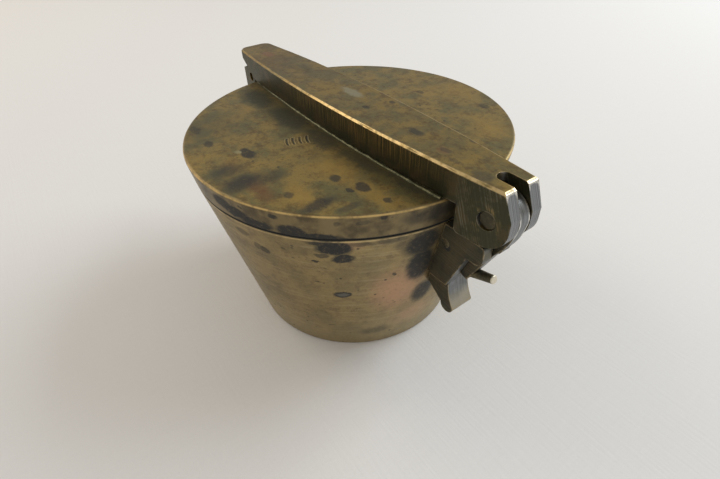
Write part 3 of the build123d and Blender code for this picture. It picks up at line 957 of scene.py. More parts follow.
class Shade(Graph):
    """A material's graph, with the patterns that old brass needs. Places in it are millimetres."""

    def __init__(self, name: str) -> None:
        """Starts an empty material.

        Args:
            name: The material's name.
        """
        self.material = bpy.data.materials.new(name)
        self.material.use_nodes = True
        self.material.node_tree.nodes.clear()
        super().__init__(self.material.node_tree)
        self.place = self.vector("SCALE", self.add("ShaderNodeTexCoord", {}, {}, "Object"), {"Scale": 1 / MM})
        self.x, self.y, self.z = self.parted(self.place)
        self.radius = (self.x * self.x + self.y * self.y).root()

    def noted(self, name: str) -> Wire:
        """A length in millimetres that is stored on the mesh."""
        return self.add("ShaderNodeAttribute", {"attribute_name": name}, {}, "Fac")

    def facing(self) -> tuple[Wire, Wire, Wire]:
        """The direction that the surface faced when the piece was made."""
        return self.parted(self.add("ShaderNodeAttribute", {"attribute_name": "facing"}, {}, "Vector"))

    def stretched(self, x: float, y: float, z: float) -> Wire:
        """The place with each axis scaled, for patterns that run one way."""
        return self.vector("MULTIPLY", self.place, {1: (x, y, z)})

    def along(self, foot: Vector, way: Vector) -> Wire:
        """How far a place lies from a foot along a way."""
        moved = self.vector("SUBTRACT", self.place, {1: tuple(foot)})
        return self.vector("DOT_PRODUCT", moved, {1: tuple(way)}, "Value")

    def grain(self, size: float, detail: float = 2.0, at: Wire | None = None, rough: float = 0.55) -> Wire:
        """Noise of a given feature size.

        Args:
            size: Size of a feature in millimetres.
            detail: The noise's detail.
            at: The place to read it at, where it isn't the plain one.
            rough: The noise's roughness.

        Returns:
            A value round 0.5.
        """
        values = {"Vector": at or self.place, "Scale": 1 / size, "Detail": detail, "Roughness": rough}
        return self.add("ShaderNodeTexNoise", {"noise_dimensions": "3D"}, values, "Fac")

    def lines(self, value: Wire, size: float, detail: float = 3.0) -> Wire:
        """Noise along one value only, as a row of lines.

        Args:
            value: The value that the lines are spread along.
            size: Width of a line in millimetres.
            detail: The noise's detail.

        Returns:
            A value round 0.5.
        """
        values = {"W": value, "Scale": 1 / size, "Detail": detail, "Roughness": 0.65}
        return self.add("ShaderNodeTexNoise", {"noise_dimensions": "1D"}, values, "Fac")

    def cells(self, size: float) -> Wire:
        """How far a place lies from the nearest of some scattered points, in cells."""
        values = {"Vector": self.place, "Scale": 1 / size, "Randomness": 1.0}
        return self.add("ShaderNodeTexVoronoi", {"feature": "F1"}, values, "Distance")

    def warped(self, amount: float, size: float = 1.1) -> Wire:
        """The place pushed about by noise, so that patches get ragged outlines.

        Args:
            amount: How far it is pushed, in millimetres.
            size: Size of the noise's features.

        Returns:
            The pushed place.
        """
        values = {"Vector": self.place, "Scale": 1 / size, "Detail": 4.0, "Roughness": 0.6}
        push = self.add("ShaderNodeTexNoise", {}, values, "Color")
        centred = self.vector("SUBTRACT", push, {1: (0.5, 0.5, 0.5)})
        return self.vector("ADD", self.place, {1: self.vector("SCALE", centred, {"Scale": amount * 2})})

    def mix(self, amount: Any, first: Any, second: Any) -> Wire:
        """Colour mix.

        Args:
            amount: 0 for the first colour, 1 for the second.
            first: A colour or wire.
            second: A colour or wire.

        Returns:
            The mixed colour.
        """
        first, second = (c if isinstance(c, Wire) else (*c, 1.0) for c in (first, second))
        values = {"Factor_Float": amount, "A_Color": first, "B_Color": second}
        return self.add("ShaderNodeMix", {"data_type": "RGBA"}, values, "Result_Color")

    def blend(self, amount: Any, first: Any, second: Any) -> Wire:
        """Number mix."""
        values = {"Factor_Float": amount, "A_Float": first, "B_Float": second}
        return self.add("ShaderNodeMix", {"data_type": "FLOAT"}, values, "Result_Float")

    def spot(self, at: Wire, centre: Point, reach: Point, edge: float) -> Wire:
        """A soft-edged patch round a place.

        Args:
            at: The place to read, usually warped so that the patch isn't a clean oval.
            centre: Middle of the patch.
            reach: Its half-sizes along the three axes.
            edge: How much of its radius fades.

        Returns:
            1 inside the patch and 0 outside.
        """
        scaled = self.vector("DIVIDE", self.vector("SUBTRACT", at, {1: centre}), {1: reach})
        return self.vector("LENGTH", scaled, {}, "Value").ramp(1 + edge / 2, 1 - edge / 2)

    def bumped(self, height: Wire, depth: float, under: Wire | None = None) -> Wire:
        """A Bump node.

        Args:
            height: The height, 0 to 1.
            depth: What 1 stands for, in millimetres.
            under: The normal below it, where there is one.

        Returns:
            The normal.
        """
        values = {"Height": height, "Distance": depth * MM, "Strength": 1.0}
        if under is not None:
            values["Normal"] = under
        return self.add("ShaderNodeBump", {}, values)


class Coat:
    """A surface that is built up layer by layer: each layer has a mask, a colour and a sheen."""

    def __init__(self, shade: Shade, colour: Any, rough: Any, metal: Any) -> None:
        """Starts with the lowest layer.

        Args:
            shade: The material's graph.
            colour: Its colour.
            rough: Its roughness.
            metal: How metallic it is.
        """
        self.shade = shade
        self.colour = colour
        self.rough = rough
        self.metal = metal

    def lay(self, mask: Any, colour: Any, rough: Any = None, metal: Any = None) -> None:
        """Adds a layer.

        Args:
            mask: Where it lies, 0 to 1.
            colour: Its colour.
            rough: Its roughness, where it differs.
            metal: How metallic it is, where it differs.
        """
        self.colour = self.shade.mix(mask, self.colour, colour)
        if rough is not None:
            self.rough = self.shade.blend(mask, self.rough, rough)
        if metal is not None:
            self.metal = self.shade.blend(mask, self.metal, metal)

    def done(self, normal: Wire) -> bpy.types.Material:
        """Closes the material with the surface shader.

        Args:
            normal: Its normal.

        Returns:
            The finished material.
        """
        values = {"Base Color": self.colour, "Roughness": self.rough, "Metallic": self.metal,
                  "Normal": normal}
        shader = self.shade.add("ShaderNodeBsdfPrincipled", {}, values)
        self.shade.node("ShaderNodeOutputMaterial", {}, {"Surface": shader})
        return self.shade.material


@dataclass(frozen=True)
class PlacedPatch:
    """One patch of staining, or of painted light or shade, placed by the pixel that its middle falls on."""

    pixel: Pixel
    reach: Point
    strength: float = 1.0
    edge: float = 0.5


@dataclass(frozen=True)
class Brass:
    """An aged brass finish: three tones of patina, dark stains and worn edges."""

    name: str
    gold: Colour
    olive: Colour
    brown: Colour
    stain_and_shade: Colour = (0.012, 0.013, 0.014)
    worn: Colour = (0.62, 0.47, 0.24)
    clean: Colour = (0.46, 0.335, 0.145)
    tarnish: Colour = (0.20, 0.150, 0.070)
    seam: Colour = (0.008, 0.008, 0.007)
    rough: float = 0.42
    metal: float = 0.85
    mottle: float = 4.0

    def base(self, shade: Shade) -> Coat:
        """The mottled patina that everything else lies on.

        Args:
            shade: The material's graph.

        Returns:
            The coat with its lowest layers.
        """
        wide = shade.grain(self.mottle, 5.0, rough=0.65).ramp(0.38, 0.6)
        fine = shade.grain(self.mottle / 3, 5.0, rough=0.75).ramp(0.46, 0.66)
        colour = shade.mix(wide, self.olive, self.gold)
        coat = Coat(shade, colour, shade.grain(0.6, 4.0) * 0.2 + self.rough - 0.1, self.metal)
        coat.lay(fine * 0.7, self.brown)
        freckles = shade.grain(0.28, 3.0, rough=0.7)
        coat.lay(freckles.ramp(0.54, 0.72) * 0.45, self.brown, self.rough + 0.1)
        coat.lay(freckles.ramp(0.42, 0.28) * 0.35, self.gold)
        return coat

    def turned(self, shade: Shade) -> Wire:
        """Colour of the faces inside, which are cleaner: turned rings, with tarnish over them.

        Args:
            shade: The material's graph.

        Returns:
            The colour.
        """
        rings = shade.lines(shade.radius, 0.35).ramp(0.35, 0.65)
        colour = shade.mix(rings * 0.35, self.clean, self.tarnish)
        tarnished = shade.grain(5.0, 5.0, rough=0.65).ramp(0.42, 0.62)
        return shade.mix((tarnished * 0.75).high_of(self.specks(shade)), colour, self.tarnish)

    def specks(self, shade: Shade) -> Wire:
        """Small dark specks, thickly in some places and hardly in others."""
        where = shade.grain(3.0, 3.0).ramp(0.5, 0.66)
        return shade.cells(1.05).ramp(0.22, 0.10) * where

    def patches(self, shade: Shade, stains: Sequence[PlacedPatch], place: Callable[[Pixel], Point],
                ragged: float = 0.45) -> Wire:
        """All the placed stains, and patches of painted light or shade, together.

        Args:
            shade: The material's graph.
            stains: The stains, with any patches of painted light or shade among them.
            place: Turns a pixel into a place on the surface.
            ragged: How far their outlines are pushed about, in millimetres.

        Returns:
            1 where the surface is stained or painted with light or shade.
        """
        at = shade.warped(ragged)
        total: Any = 0.0
        for stain_and_shade in stains:
            patch = shade.spot(at, place(stain_and_shade.pixel), stain_and_shade.reach, stain_and_shade.edge) * stain_and_shade.strength
            total = patch.high_of(total)
        return total * (shade.grain(0.5, 5.0, rough=0.75).ramp(0.3, 0.5) * 0.35 + 0.65)


@dataclass(frozen=True)
class LidFinish(Brass):
    """The lid: olive gold, slate stains, a painted shadow beside the bar, a shining rim line that is partly
    worn brass and partly a painted highlight, and four plain tally strokes with painted shade in their cuts
    and painted highlight on their burrs.
    """

    name: str = "lid_old_brass"
    gold: Colour = (0.305, 0.218, 0.070)
    olive: Colour = (0.172, 0.152, 0.068)
    brown: Colour = (0.120, 0.080, 0.036)
    flank: Colour = (0.235, 0.180, 0.092)
    flank_dark: Colour = (0.115, 0.088, 0.050)
    amber: Colour = (0.390, 0.255, 0.068)
    shadowed: Colour = (0.052, 0.052, 0.030)
    ruddy: Colour = (0.200, 0.090, 0.040)
    rim: Colour = (0.860, 0.600, 0.240)
    pale: Colour = (0.420, 0.380, 0.220)
    lit_burr: Colour = (0.400, 0.330, 0.170)
    cut: Colour = (0.030, 0.028, 0.018)

    TOP_RADII = (21.0, 20.6)
    INSIDE_RADII = (20.3, 20.0)
    RIM_RADIUS = 21.0

    TOP_STAINS = (
        PlacedPatch((247, 153), (1.5, 0.75, 2.0), 0.9, 0.5),
        PlacedPatch((209, 144), (0.8, 0.5, 2.0), 0.75),
        PlacedPatch((335, 178), (0.75, 0.55, 2.0), 0.8),
        PlacedPatch((363, 187), (0.95, 0.7, 2.0), 0.85),
        PlacedPatch((350, 190), (0.45, 0.4, 2.0), 0.8),
        PlacedPatch((388, 200), (0.6, 0.45, 2.0), 0.8),
        PlacedPatch((289, 195), (0.7, 0.6, 2.0), 0.7),
        PlacedPatch((195, 130), (1.3, 0.6, 2.0), 0.6),
        PlacedPatch((243, 182), (1.6, 2.6, 2.0), 0.85, 1.3),
        PlacedPatch((226, 172), (1.4, 2.0, 2.0), 0.7, 1.3),
        PlacedPatch((268, 178), (1.2, 2.0, 2.0), 0.7, 1.3),
        PlacedPatch((318, 205), (0.9, 2.2, 2.0), 0.85, 0.9),
        PlacedPatch((350, 207), (0.5, 1.4, 2.0), 0.6, 0.9),
        PlacedPatch((420, 92), (0.7, 0.5, 2.0), 0.6),
        PlacedPatch((484, 106), (0.9, 0.6, 2.0), 0.6),
    )
    SIDE_STAINS_AND_CLASP_SHADOW = (
        PlacedPatch((221, 203), (1.6, 1.4, 0.9), 0.9, 0.4),
        PlacedPatch((234, 212), (2.0, 1.5, 0.8), 0.95, 0.4),
        PlacedPatch((256, 224), (2.3, 1.6, 0.7), 0.95, 0.4),
        PlacedPatch((290, 232), (1.8, 1.6, 0.9), 0.95, 0.4),
        PlacedPatch((318, 238), (3.0, 2.0, 0.55), 0.95, 0.4),
        PlacedPatch((344, 241), (1.8, 1.6, 0.4), 0.8, 0.5),
        PlacedPatch((271, 217), (0.6, 0.6, 0.4), 0.9),
        PlacedPatch((337, 225), (0.5, 0.5, 0.3), 0.5),
        PlacedPatch((385, 218), (0.45, 0.45, 0.35), 0.8),
        PlacedPatch((364, 224), (0.9, 0.7, 0.3), 0.45),
        # The last two are partly the clasp's painted shadow on the lid's side, partly real stains.
        PlacedPatch((424, 217), (2.2, 2.2, 0.9), 0.6, 0.9),
        PlacedPatch((440, 212), (1.4, 1.8, 1.4), 0.7, 0.9),
    )
    RUDDY = (PlacedPatch((260, 190), (2.4, 0.9, 2.0), 0.6, 1.2), PlacedPatch((230, 165), (1.2, 1.0, 2.0), 0.25, 1.0))
    AMBER = (
        PlacedPatch((335, 168), (3.4, 1.6, 2.0), 0.6, 1.6),
        PlacedPatch((378, 197), (3.0, 1.0, 2.0), 0.7, 1.4),
        PlacedPatch((300, 196), (2.6, 1.0, 2.0), 0.6, 1.4),
        PlacedPatch((246, 108), (1.8, 1.0, 2.0), 0.5, 1.4),
        PlacedPatch((448, 92), (3.6, 3.0, 2.0), 0.4, 1.6),
        PlacedPatch((492, 128), (2.6, 2.4, 2.0), 0.5, 1.6),
    )
    PALE = (PlacedPatch((238, 152), (0.5, 0.3, 2.0), 0.5, 0.8),)
    # Painted shade: the bar's shadow along its foot on the lid's top, and a broad painted darkening over the
    # lid's left.
    FOOT_SHADE = (
        PlacedPatch((258, 98), (4.2, 2.0, 2.0), 0.95, 1.0),
        PlacedPatch((290, 118), (4.6, 2.2, 2.0), 0.95, 1.0),
        PlacedPatch((322, 138), (3.6, 1.7, 2.0), 0.9, 1.0),
        PlacedPatch((362, 160), (4.0, 1.2, 2.0), 0.85, 1.0),
        PlacedPatch((405, 182), (4.0, 1.0, 2.0), 0.85, 1.0),
        PlacedPatch((204, 128), (4.0, 5.0, 2.0), 0.5, 1.8),
    )
    STROKES = ((287, 142), (293, 141), (300, 140), (307, 139))
    STROKE_WAY = (0.92, -0.39)
    STROKE_HALF = 0.8
    STROKE_WIDTH = 0.17

    def strokes(self, shade: Shade) -> tuple[Wire, Wire]:
        """Four short parallel cuts in the lid's top.

        Args:
            shade: The material's graph.

        Returns:
            The cuts' depth, painted dark as the shade in each groove, and the burrs beside them, painted
            light as a highlight, 0 to 1 each.
        """
        cut: Any = 0.0
        lit_burr: Any = 0.0
        way_x, way_y = self.STROKE_WAY
        for pixel in self.STROKES:
            x, y, _ = on_lid(pixel)
            along = (shade.x - x) * way_x + (shade.y - y) * way_y
            across = (shade.x - x) * way_y - (shade.y - y) * way_x + along * along * 0.12
            over = (along.size() - self.STROKE_HALF).high_of(0.0)
            far = (across * across + over * over).root()
            cut = far.ramp(self.STROKE_WIDTH, 0.04).high_of(cut)
            lit_burr = far.near(self.STROKE_WIDTH * 1.3, 0.12).high_of(lit_burr)
        return cut, lit_burr

    def foot(self, shade: Shade) -> Wire:
        """How far a place lies outside the arcs beside the bar, on either side.

        Args:
            shade: The material's graph.

        Returns:
            The distance along Y, in millimetres.
        """
        centre_x, centre_y, bow = SIZES.bow
        away = shade.x - centre_x
        half = (bow * bow - away * away).high_of(0.0).root() + centre_y
        return shade.y.size() - half

    def material(self) -> bpy.types.Material:
        """Makes the finish.

        Returns:
            The material, named after the finish.
        """
        shade = Shade(self.name)
        top = SIZES.lid_top
        on_top = shade.z.ramp(top - 0.5, top - 0.05) * shade.radius.ramp(*self.TOP_RADII)
        flank = shade.z.ramp(SIZES.case_height - 0.05, SIZES.case_height + 0.05)
        coat = self.base(shade)
        side_tone = shade.mix(shade.grain(2.2, 4.0).ramp(0.4, 0.65), self.flank, self.flank_dark)
        coat.lay(1 - on_top, side_tone)
        coat.lay(self.patches(shade, self.AMBER, on_lid, 1.2) * on_top, self.amber)
        coat.lay(self.patches(shade, self.RUDDY, on_lid, 0.9) * on_top, self.ruddy)
        # Painted shade: a dark strip along the bar's foot and the patches above stand for the bar's shadow on
        # the lid.
        foot = self.foot(shade) + shade.grain(1.6, 4.0) * 1.6 - 0.8
        bar_shadow_band = foot.ramp(1.5, 0.1) * 0.8
        wide = self.patches(shade, self.FOOT_SHADE, on_lid, 0.9)
        coat.lay(bar_shadow_band.high_of(wide) * on_top, self.shadowed, self.rough + 0.1, 0.6)
        dark = self.patches(shade, self.TOP_STAINS, on_lid) * on_top
        dark = dark.high_of(self.patches(shade, self.SIDE_STAINS_AND_CLASP_SHADOW, on_wall) * (1 - on_top) * flank)
        specks = self.specks(shade)
        dark = dark.high_of(specks * 0.75)
        coat.lay(dark, self.stain_and_shade, self.rough + 0.15, 0.3)
        coat.lay(self.patches(shade, self.PALE, on_lid) * on_top, self.pale)
        # Painted shade and highlight: each cut is painted dark as the shade in its groove, and the ring round
        # it light as a highlight on its burrs.
        cut, lit_burr = self.strokes(shade)
        coat.lay(lit_burr * on_top * 0.35, self.lit_burr)
        coat.lay(cut * on_top * 0.9, self.cut, 0.6, 0.4)
        # Painted highlight: the rim line is partly worn brass and partly the highlight that the rounded top
        # edge catches.
        rim = shade.radius.near(self.RIM_RADIUS, 0.16) * shade.z.near(top - 0.12, 0.22)
        rim_wear_and_highlight = rim * (shade.grain(1.3, 4.0).ramp(0.34, 0.56) * 0.7 + 0.3)
        coat.lay(rim_wear_and_highlight, self.rim, 0.3, 1.0)
        seam = shade.z.ramp(SIZES.case_height + 0.3, SIZES.case_height + 0.16)
        coat.lay(seam, self.seam, 0.7, 0.0)
        inside = shade.radius.ramp(*self.INSIDE_RADII) * (1 - flank)
        coat.lay(inside, self.turned(shade), 0.36, 0.95)
        rings = shade.lines(shade.radius, 0.12)
        height = rings * 0.2 + shade.grain(0.25, 3.0) * 0.4 + shade.grain(2.4, 3.0) * 2.0 - specks * 0.8
        normal = shade.bumped(height, 0.012)
        return coat.done(shade.bumped((lit_burr * 0.6 - cut) * on_top, 0.05, normal))


@dataclass(frozen=True)
class CaseFinish(Brass):
    """The case: lighter tan, with fine turning lines, a painted pinkish reflection near the clasp, dark
    blotches and the clasp's painted shadow.
    """

    name: str = "case_old_brass"
    gold: Colour = (0.350, 0.262, 0.120)
    olive: Colour = (0.250, 0.198, 0.098)
    brown: Colour = (0.195, 0.142, 0.078)
    pink_reflection: Colour = (0.560, 0.330, 0.190)
    violet: Colour = (0.160, 0.115, 0.105)
    pale: Colour = (0.500, 0.410, 0.235)
    heart: Colour = (0.170, 0.160, 0.140)

    STAINS_AND_CLASP_SHADOW = (
        PlacedPatch((334, 249), (2.3, 1.8, 1.15), 0.98, 0.5),
        PlacedPatch((326, 244), (2.6, 1.8, 0.55), 0.9, 0.5),
        PlacedPatch((343, 259), (1.4, 1.1, 0.8), 0.95),
        PlacedPatch((360, 245), (2.2, 1.6, 0.4), 0.6, 0.9),
        PlacedPatch((395, 240), (2.4, 1.8, 0.4), 0.5, 0.9),
        PlacedPatch((322, 256), (0.9, 0.7, 0.4), 0.7),
        PlacedPatch((315, 261), (0.5, 0.4, 0.18), 0.9),
        PlacedPatch((394, 274), (0.28, 0.28, 0.28), 0.8),
        PlacedPatch((340, 279), (0.2, 0.2, 0.16), 0.8),
        PlacedPatch((386, 280), (0.16, 0.16, 0.16), 0.7),
        PlacedPatch((318, 282), (0.3, 0.3, 0.12), 0.6),
        PlacedPatch((265, 250), (0.7, 0.6, 0.5), 0.7),
        PlacedPatch((258, 246), (0.6, 0.4, 0.7), 0.5),
        PlacedPatch((283, 248), (0.3, 0.3, 0.2), 0.5),
        PlacedPatch((293, 258), (0.3, 0.2, 0.15), 0.5),
        # These three make a dark column under the clasp that is partly its painted shadow and partly
        # staining.
        PlacedPatch((424, 242), (2.4, 2.4, 2.2), 0.95, 0.7),
        PlacedPatch((420, 264), (1.6, 1.8, 3.4), 0.95, 0.6),
        PlacedPatch((422, 290), (1.4, 1.6, 2.4), 0.9, 0.7),
        PlacedPatch((405, 245), (1.0, 1.0, 0.9), 0.5, 1.0),
        PlacedPatch((375, 330), (2.5, 2.0, 0.8), 0.45, 1.0),
        PlacedPatch((332, 325), (0.7, 0.5, 0.12), 0.4),
        PlacedPatch((305, 312), (0.5, 0.4, 0.12), 0.35),
        PlacedPatch((243, 232), (1.2, 1.0, 0.5), 0.5),
    )
    RING = PlacedPatch((343, 295), (1.2, 1.1, 0.66), 0.95, 0.4)
    RING_HEART = PlacedPatch((343, 295), (0.8, 0.8, 0.38), 0.6, 0.6)
    # Painted reflection: a pinkish glow on the wall near the clasp, reflected light painted as colour.
    PINK_REFLECTION = (
        PlacedPatch((397, 290), (2.4, 3.0, 4.0), 0.8, 1.4),
        PlacedPatch((412, 312), (2.0, 2.6, 2.0), 0.6, 1.4),
        PlacedPatch((352, 246), (1.4, 1.0, 0.7), 0.4, 1.0),
    )

    def material(self) -> bpy.types.Material:
        """Makes the finish.

        Returns:
            The material, named after the finish.
        """
        shade = Shade(self.name)
        wall = shade.radius - shade.z * SIZES.slope - SIZES.base_radius
        outside = wall.ramp(-0.9, -0.6)
        coat = self.base(shade)
        streaks = shade.grain(0.7, 4.0, shade.stretched(0.12, 0.12, 1.6))
        coat.lay(streaks.ramp(0.52, 0.70) * 0.28, self.pale)
        coat.lay(streaks.ramp(0.42, 0.30) * 0.25, self.brown)
        # Painted reflection, pinkish, on the wall near the clasp.
        coat.lay(self.patches(shade, self.PINK_REFLECTION, on_wall, 0.9), self.pink_reflection)
        violet = (shade.z + shade.grain(3.0) * 2.0).ramp(5.5, 1.5) * shade.grain(4.0, 3.0).ramp(0.4, 0.65)
        coat.lay(violet * 0.25, self.violet)
        coat.lay(shade.z.ramp(10.0, 2.0) * 0.35, self.pale)
        specks = self.specks(shade)
        # The dark patches include the clasp's painted shadow.
        dark = self.patches(shade, (*self.STAINS_AND_CLASP_SHADOW, self.RING), on_wall).high_of(specks * 0.7)
        coat.lay(dark, self.stain_and_shade, self.rough + 0.15, 0.3)
        coat.lay(self.patches(shade, (self.RING_HEART,), on_wall), self.heart, 0.5)
        lip = shade.z.near(SIZES.case_height - 0.34, 0.16) * outside
        coat.lay(lip * (shade.grain(1.0, 3.0).ramp(0.35, 0.6) * 0.6 + 0.25), self.worn, 0.3, 1.0)
        seam = shade.z.ramp(SIZES.case_height - 0.24, SIZES.case_height - 0.12)
        coat.lay(seam * outside, self.seam, 0.7, 0.0)
        coat.lay(1 - outside, self.turned(shade), 0.36, 0.95)
        rings = shade.lines(shade.z, 0.10)
        height = rings * 0.3 + streaks * 0.35 + shade.grain(0.22, 3.0) * 0.4 + shade.grain(3.0, 2.0) * 2.2
        return coat.done(shade.bumped(height, 0.012))


@dataclass(frozen=True)
class BarFinish(Brass):
    """The bar: golden brown on top, filed sides painted dark as shade, and a shining line along its top edges
    that is partly worn brass and partly a painted highlight.
    """

    name: str = "bar_old_brass"
    gold: Colour = (0.280, 0.195, 0.056)
    olive: Colour = (0.170, 0.142, 0.060)
    brown: Colour = (0.105, 0.068, 0.030)
    # Painted shade: the sides and undersides take these dark tones.
    side: Colour = (0.056, 0.056, 0.030)
    shaded_side_brown: Colour = (0.105, 0.078, 0.040)
    filed: Colour = (0.380, 0.260, 0.090)
    silver: Colour = (0.310, 0.320, 0.325)
    silver_dark: Colour = (0.140, 0.146, 0.152)
    cheek: Colour = (0.190, 0.195, 0.140)
    pale: Colour = (0.330, 0.310, 0.210)
    ruddy: Colour = (0.240, 0.105, 0.055)
    low_edge: Colour = (0.360, 0.310, 0.220)
    edge_highlight: Colour = (0.850, 0.820, 0.740)

    BROWN_ALONG = (-2.0, -20.0)
    WEAR_AND_SHEEN_ALONG = (-14.0, 8.0)
    FILED_MIDDLE = 5.0
    FILED_REACH = (17.0, 9.0)
    CHEEK_FROM = (21.5, 22.6)
    CHEEK_TO = (27.4, 26.2)
    FRONT_FROM = (24.0, 24.6)
    CORNER_FROM = (29.6, 30.2)
    PIN_SCUFF_RADIUS = 1.35

    TOP_STAINS = (
        PlacedPatch((417, 132), (1.1, 0.5, 2.0), 0.7, 0.7),
        PlacedPatch((392, 102), (0.45, 0.3, 2.0), 0.7),
        PlacedPatch((366, 107), (0.5, 0.35, 2.0), 0.7),
        PlacedPatch((446, 150), (0.7, 0.3, 2.0), 0.5),
        PlacedPatch((474, 141), (0.7, 0.35, 2.0), 0.6),
        PlacedPatch((300, 68), (2.0, 1.0, 2.0), 0.3, 1.0),
        PlacedPatch((483, 176), (1.1, 0.8, 2.0), 0.55, 0.8),
        PlacedPatch((455, 160), (0.8, 0.3, 2.0), 0.35),
    )
    PALE = (PlacedPatch((352, 92), (2.0, 0.7, 2.0), 0.75, 0.8), PlacedPatch((404, 100), (1.2, 0.8, 2.0), 0.3, 1.0))
    RUDDY = (PlacedPatch((268, 54), (1.2, 0.8, 2.0), 0.7, 0.9), PlacedPatch((443, 150), (0.8, 0.5, 2.0), 0.4, 0.9))

    def material(self) -> bpy.types.Material:
        """Makes the finish.

        Returns:
            The material, named after the finish.
        """
        shade = Shade(self.name)
        face_x, face_y, face_z = shade.facing()
        edge = shade.noted("edge")
        on_top = face_z.ramp(0.75, 0.95)
        on_side = face_y.size().ramp(0.7, 0.9)
        on_end = face_x.high_of(0.0).ramp(0.45, 0.75)
        under = (0.0 - face_z).ramp(0.4, 0.7)
        coat = self.base(shade)
        browned = shade.x.ramp(*self.BROWN_ALONG) * shade.grain(5.0, 4.0).ramp(0.3, 0.6)
        coat.lay(browned * 0.6, self.brown)
        coat.lay(self.patches(shade, self.PALE, on_bar) * on_top, self.pale)
        coat.lay(self.patches(shade, self.RUDDY, on_bar) * on_top, self.ruddy)
        specks = self.specks(shade)
        dark = self.patches(shade, self.TOP_STAINS, on_bar) * on_top
        coat.lay(dark.high_of(specks * 0.6), self.stain_and_shade, self.rough + 0.12, 0.35)
        # Painted shade: faces that point sideways or down take the dark side tone.
        side_tone = shade.mix(shade.grain(1.6, 4.0).ramp(0.4, 0.7), self.side, self.shaded_side_brown)
        coat.lay(on_side.high_of(under), side_tone, self.rough + 0.06)
        # File marks near the top of the sides; their golden lines are partly painted glints.
        filed = shade.lines(shade.x + shade.grain(1.5) * 0.2, 0.16)
        reach = (shade.z.ramp(SIZES.bar_top - 3.0, SIZES.bar_top - 1.0)
                 * (shade.x - self.FILED_MIDDLE).size().ramp(*self.FILED_REACH))
        coat.lay(filed.ramp(0.48, 0.66) * reach * on_side * 0.8, self.filed, 0.36)
        cheek = on_side * shade.x.ramp(*self.CHEEK_FROM) * shade.x.ramp(*self.CHEEK_TO)
        brushed = shade.lines(shade.x + shade.z * 0.35 + shade.grain(1.2) * 0.2, 0.22)
        ragged = shade.grain(1.6, 4.0).ramp(0.42, 0.6)
        coat.lay(cheek * brushed.ramp(0.46, 0.66) * (ragged * 0.6 + 0.08), self.cheek)
        round_pin = ((shade.x - SIZES.pivot_x) * (shade.x - SIZES.pivot_x)
                     + (shade.z - SIZES.pivot_z) * (shade.z - SIZES.pivot_z)).root()
        scuffed = cheek * round_pin.near(self.PIN_SCUFF_RADIUS, 0.5)
        coat.lay(scuffed * brushed.ramp(0.4, 0.6) * ragged * 0.6, self.filed)
        # Painted reflection: end faces that point +X take a grey metal colour, partly worn metal and partly
        # the pale floor and window painted in.
        lines = shade.lines(shade.y + shade.grain(1.2) * 0.15, 0.14)
        front = on_end * shade.x.ramp(*self.FRONT_FROM)
        coat.lay(front, shade.mix(lines.ramp(0.3, 0.7), self.silver_dark, self.silver), 0.4, 0.9)
        # Painted highlight: the line along the top edges is partly worn brass and partly the highlight they
        # catch, stronger towards +X.
        patchy = shade.grain(0.9, 4.0).ramp(0.30, 0.58)
        high = shade.z.ramp(SIZES.bar_top - 0.5, SIZES.bar_top - 0.2)
        wear_and_sheen = shade.x.ramp(*self.WEAR_AND_SHEEN_ALONG) * 0.75 + 0.15
        coat.lay(edge.ramp(0.13, 0.02) * high * (patchy * 0.7 + 0.2) * wear_and_sheen, self.worn, 0.3, 1.0)
        low = (1 - high) * shade.grain(1.1, 4.0).ramp(0.45, 0.65)
        coat.lay(edge.ramp(0.16, 0.03) * low * 0.5, self.low_edge, 0.36)
        # Painted highlight on the fork's top corners.
        corner = edge.ramp(0.24, 0.05) * front * shade.z.ramp(*self.CORNER_FROM)
        coat.lay(corner * (patchy * 0.5 + 0.4), self.edge_highlight, 0.25, 1.0)
        # Darker within 0.45 mm of inner corners.
        coat.lay(shade.noted("nook").ramp(0.45, 0.0) * 0.8, self.stain_and_shade, 0.6, 0.3)
        scratch = shade.grain(0.35, 4.0, shade.stretched(0.12, 1.6, 1.0))
        height = (on_side * filed * 1.8 + scratch * 0.5 + shade.grain(0.22, 3.0) * 0.35
                  + shade.grain(2.6, 2.0) * 1.6 + front * lines * 1.5)
        return coat.done(shade.bumped(height, 0.014))


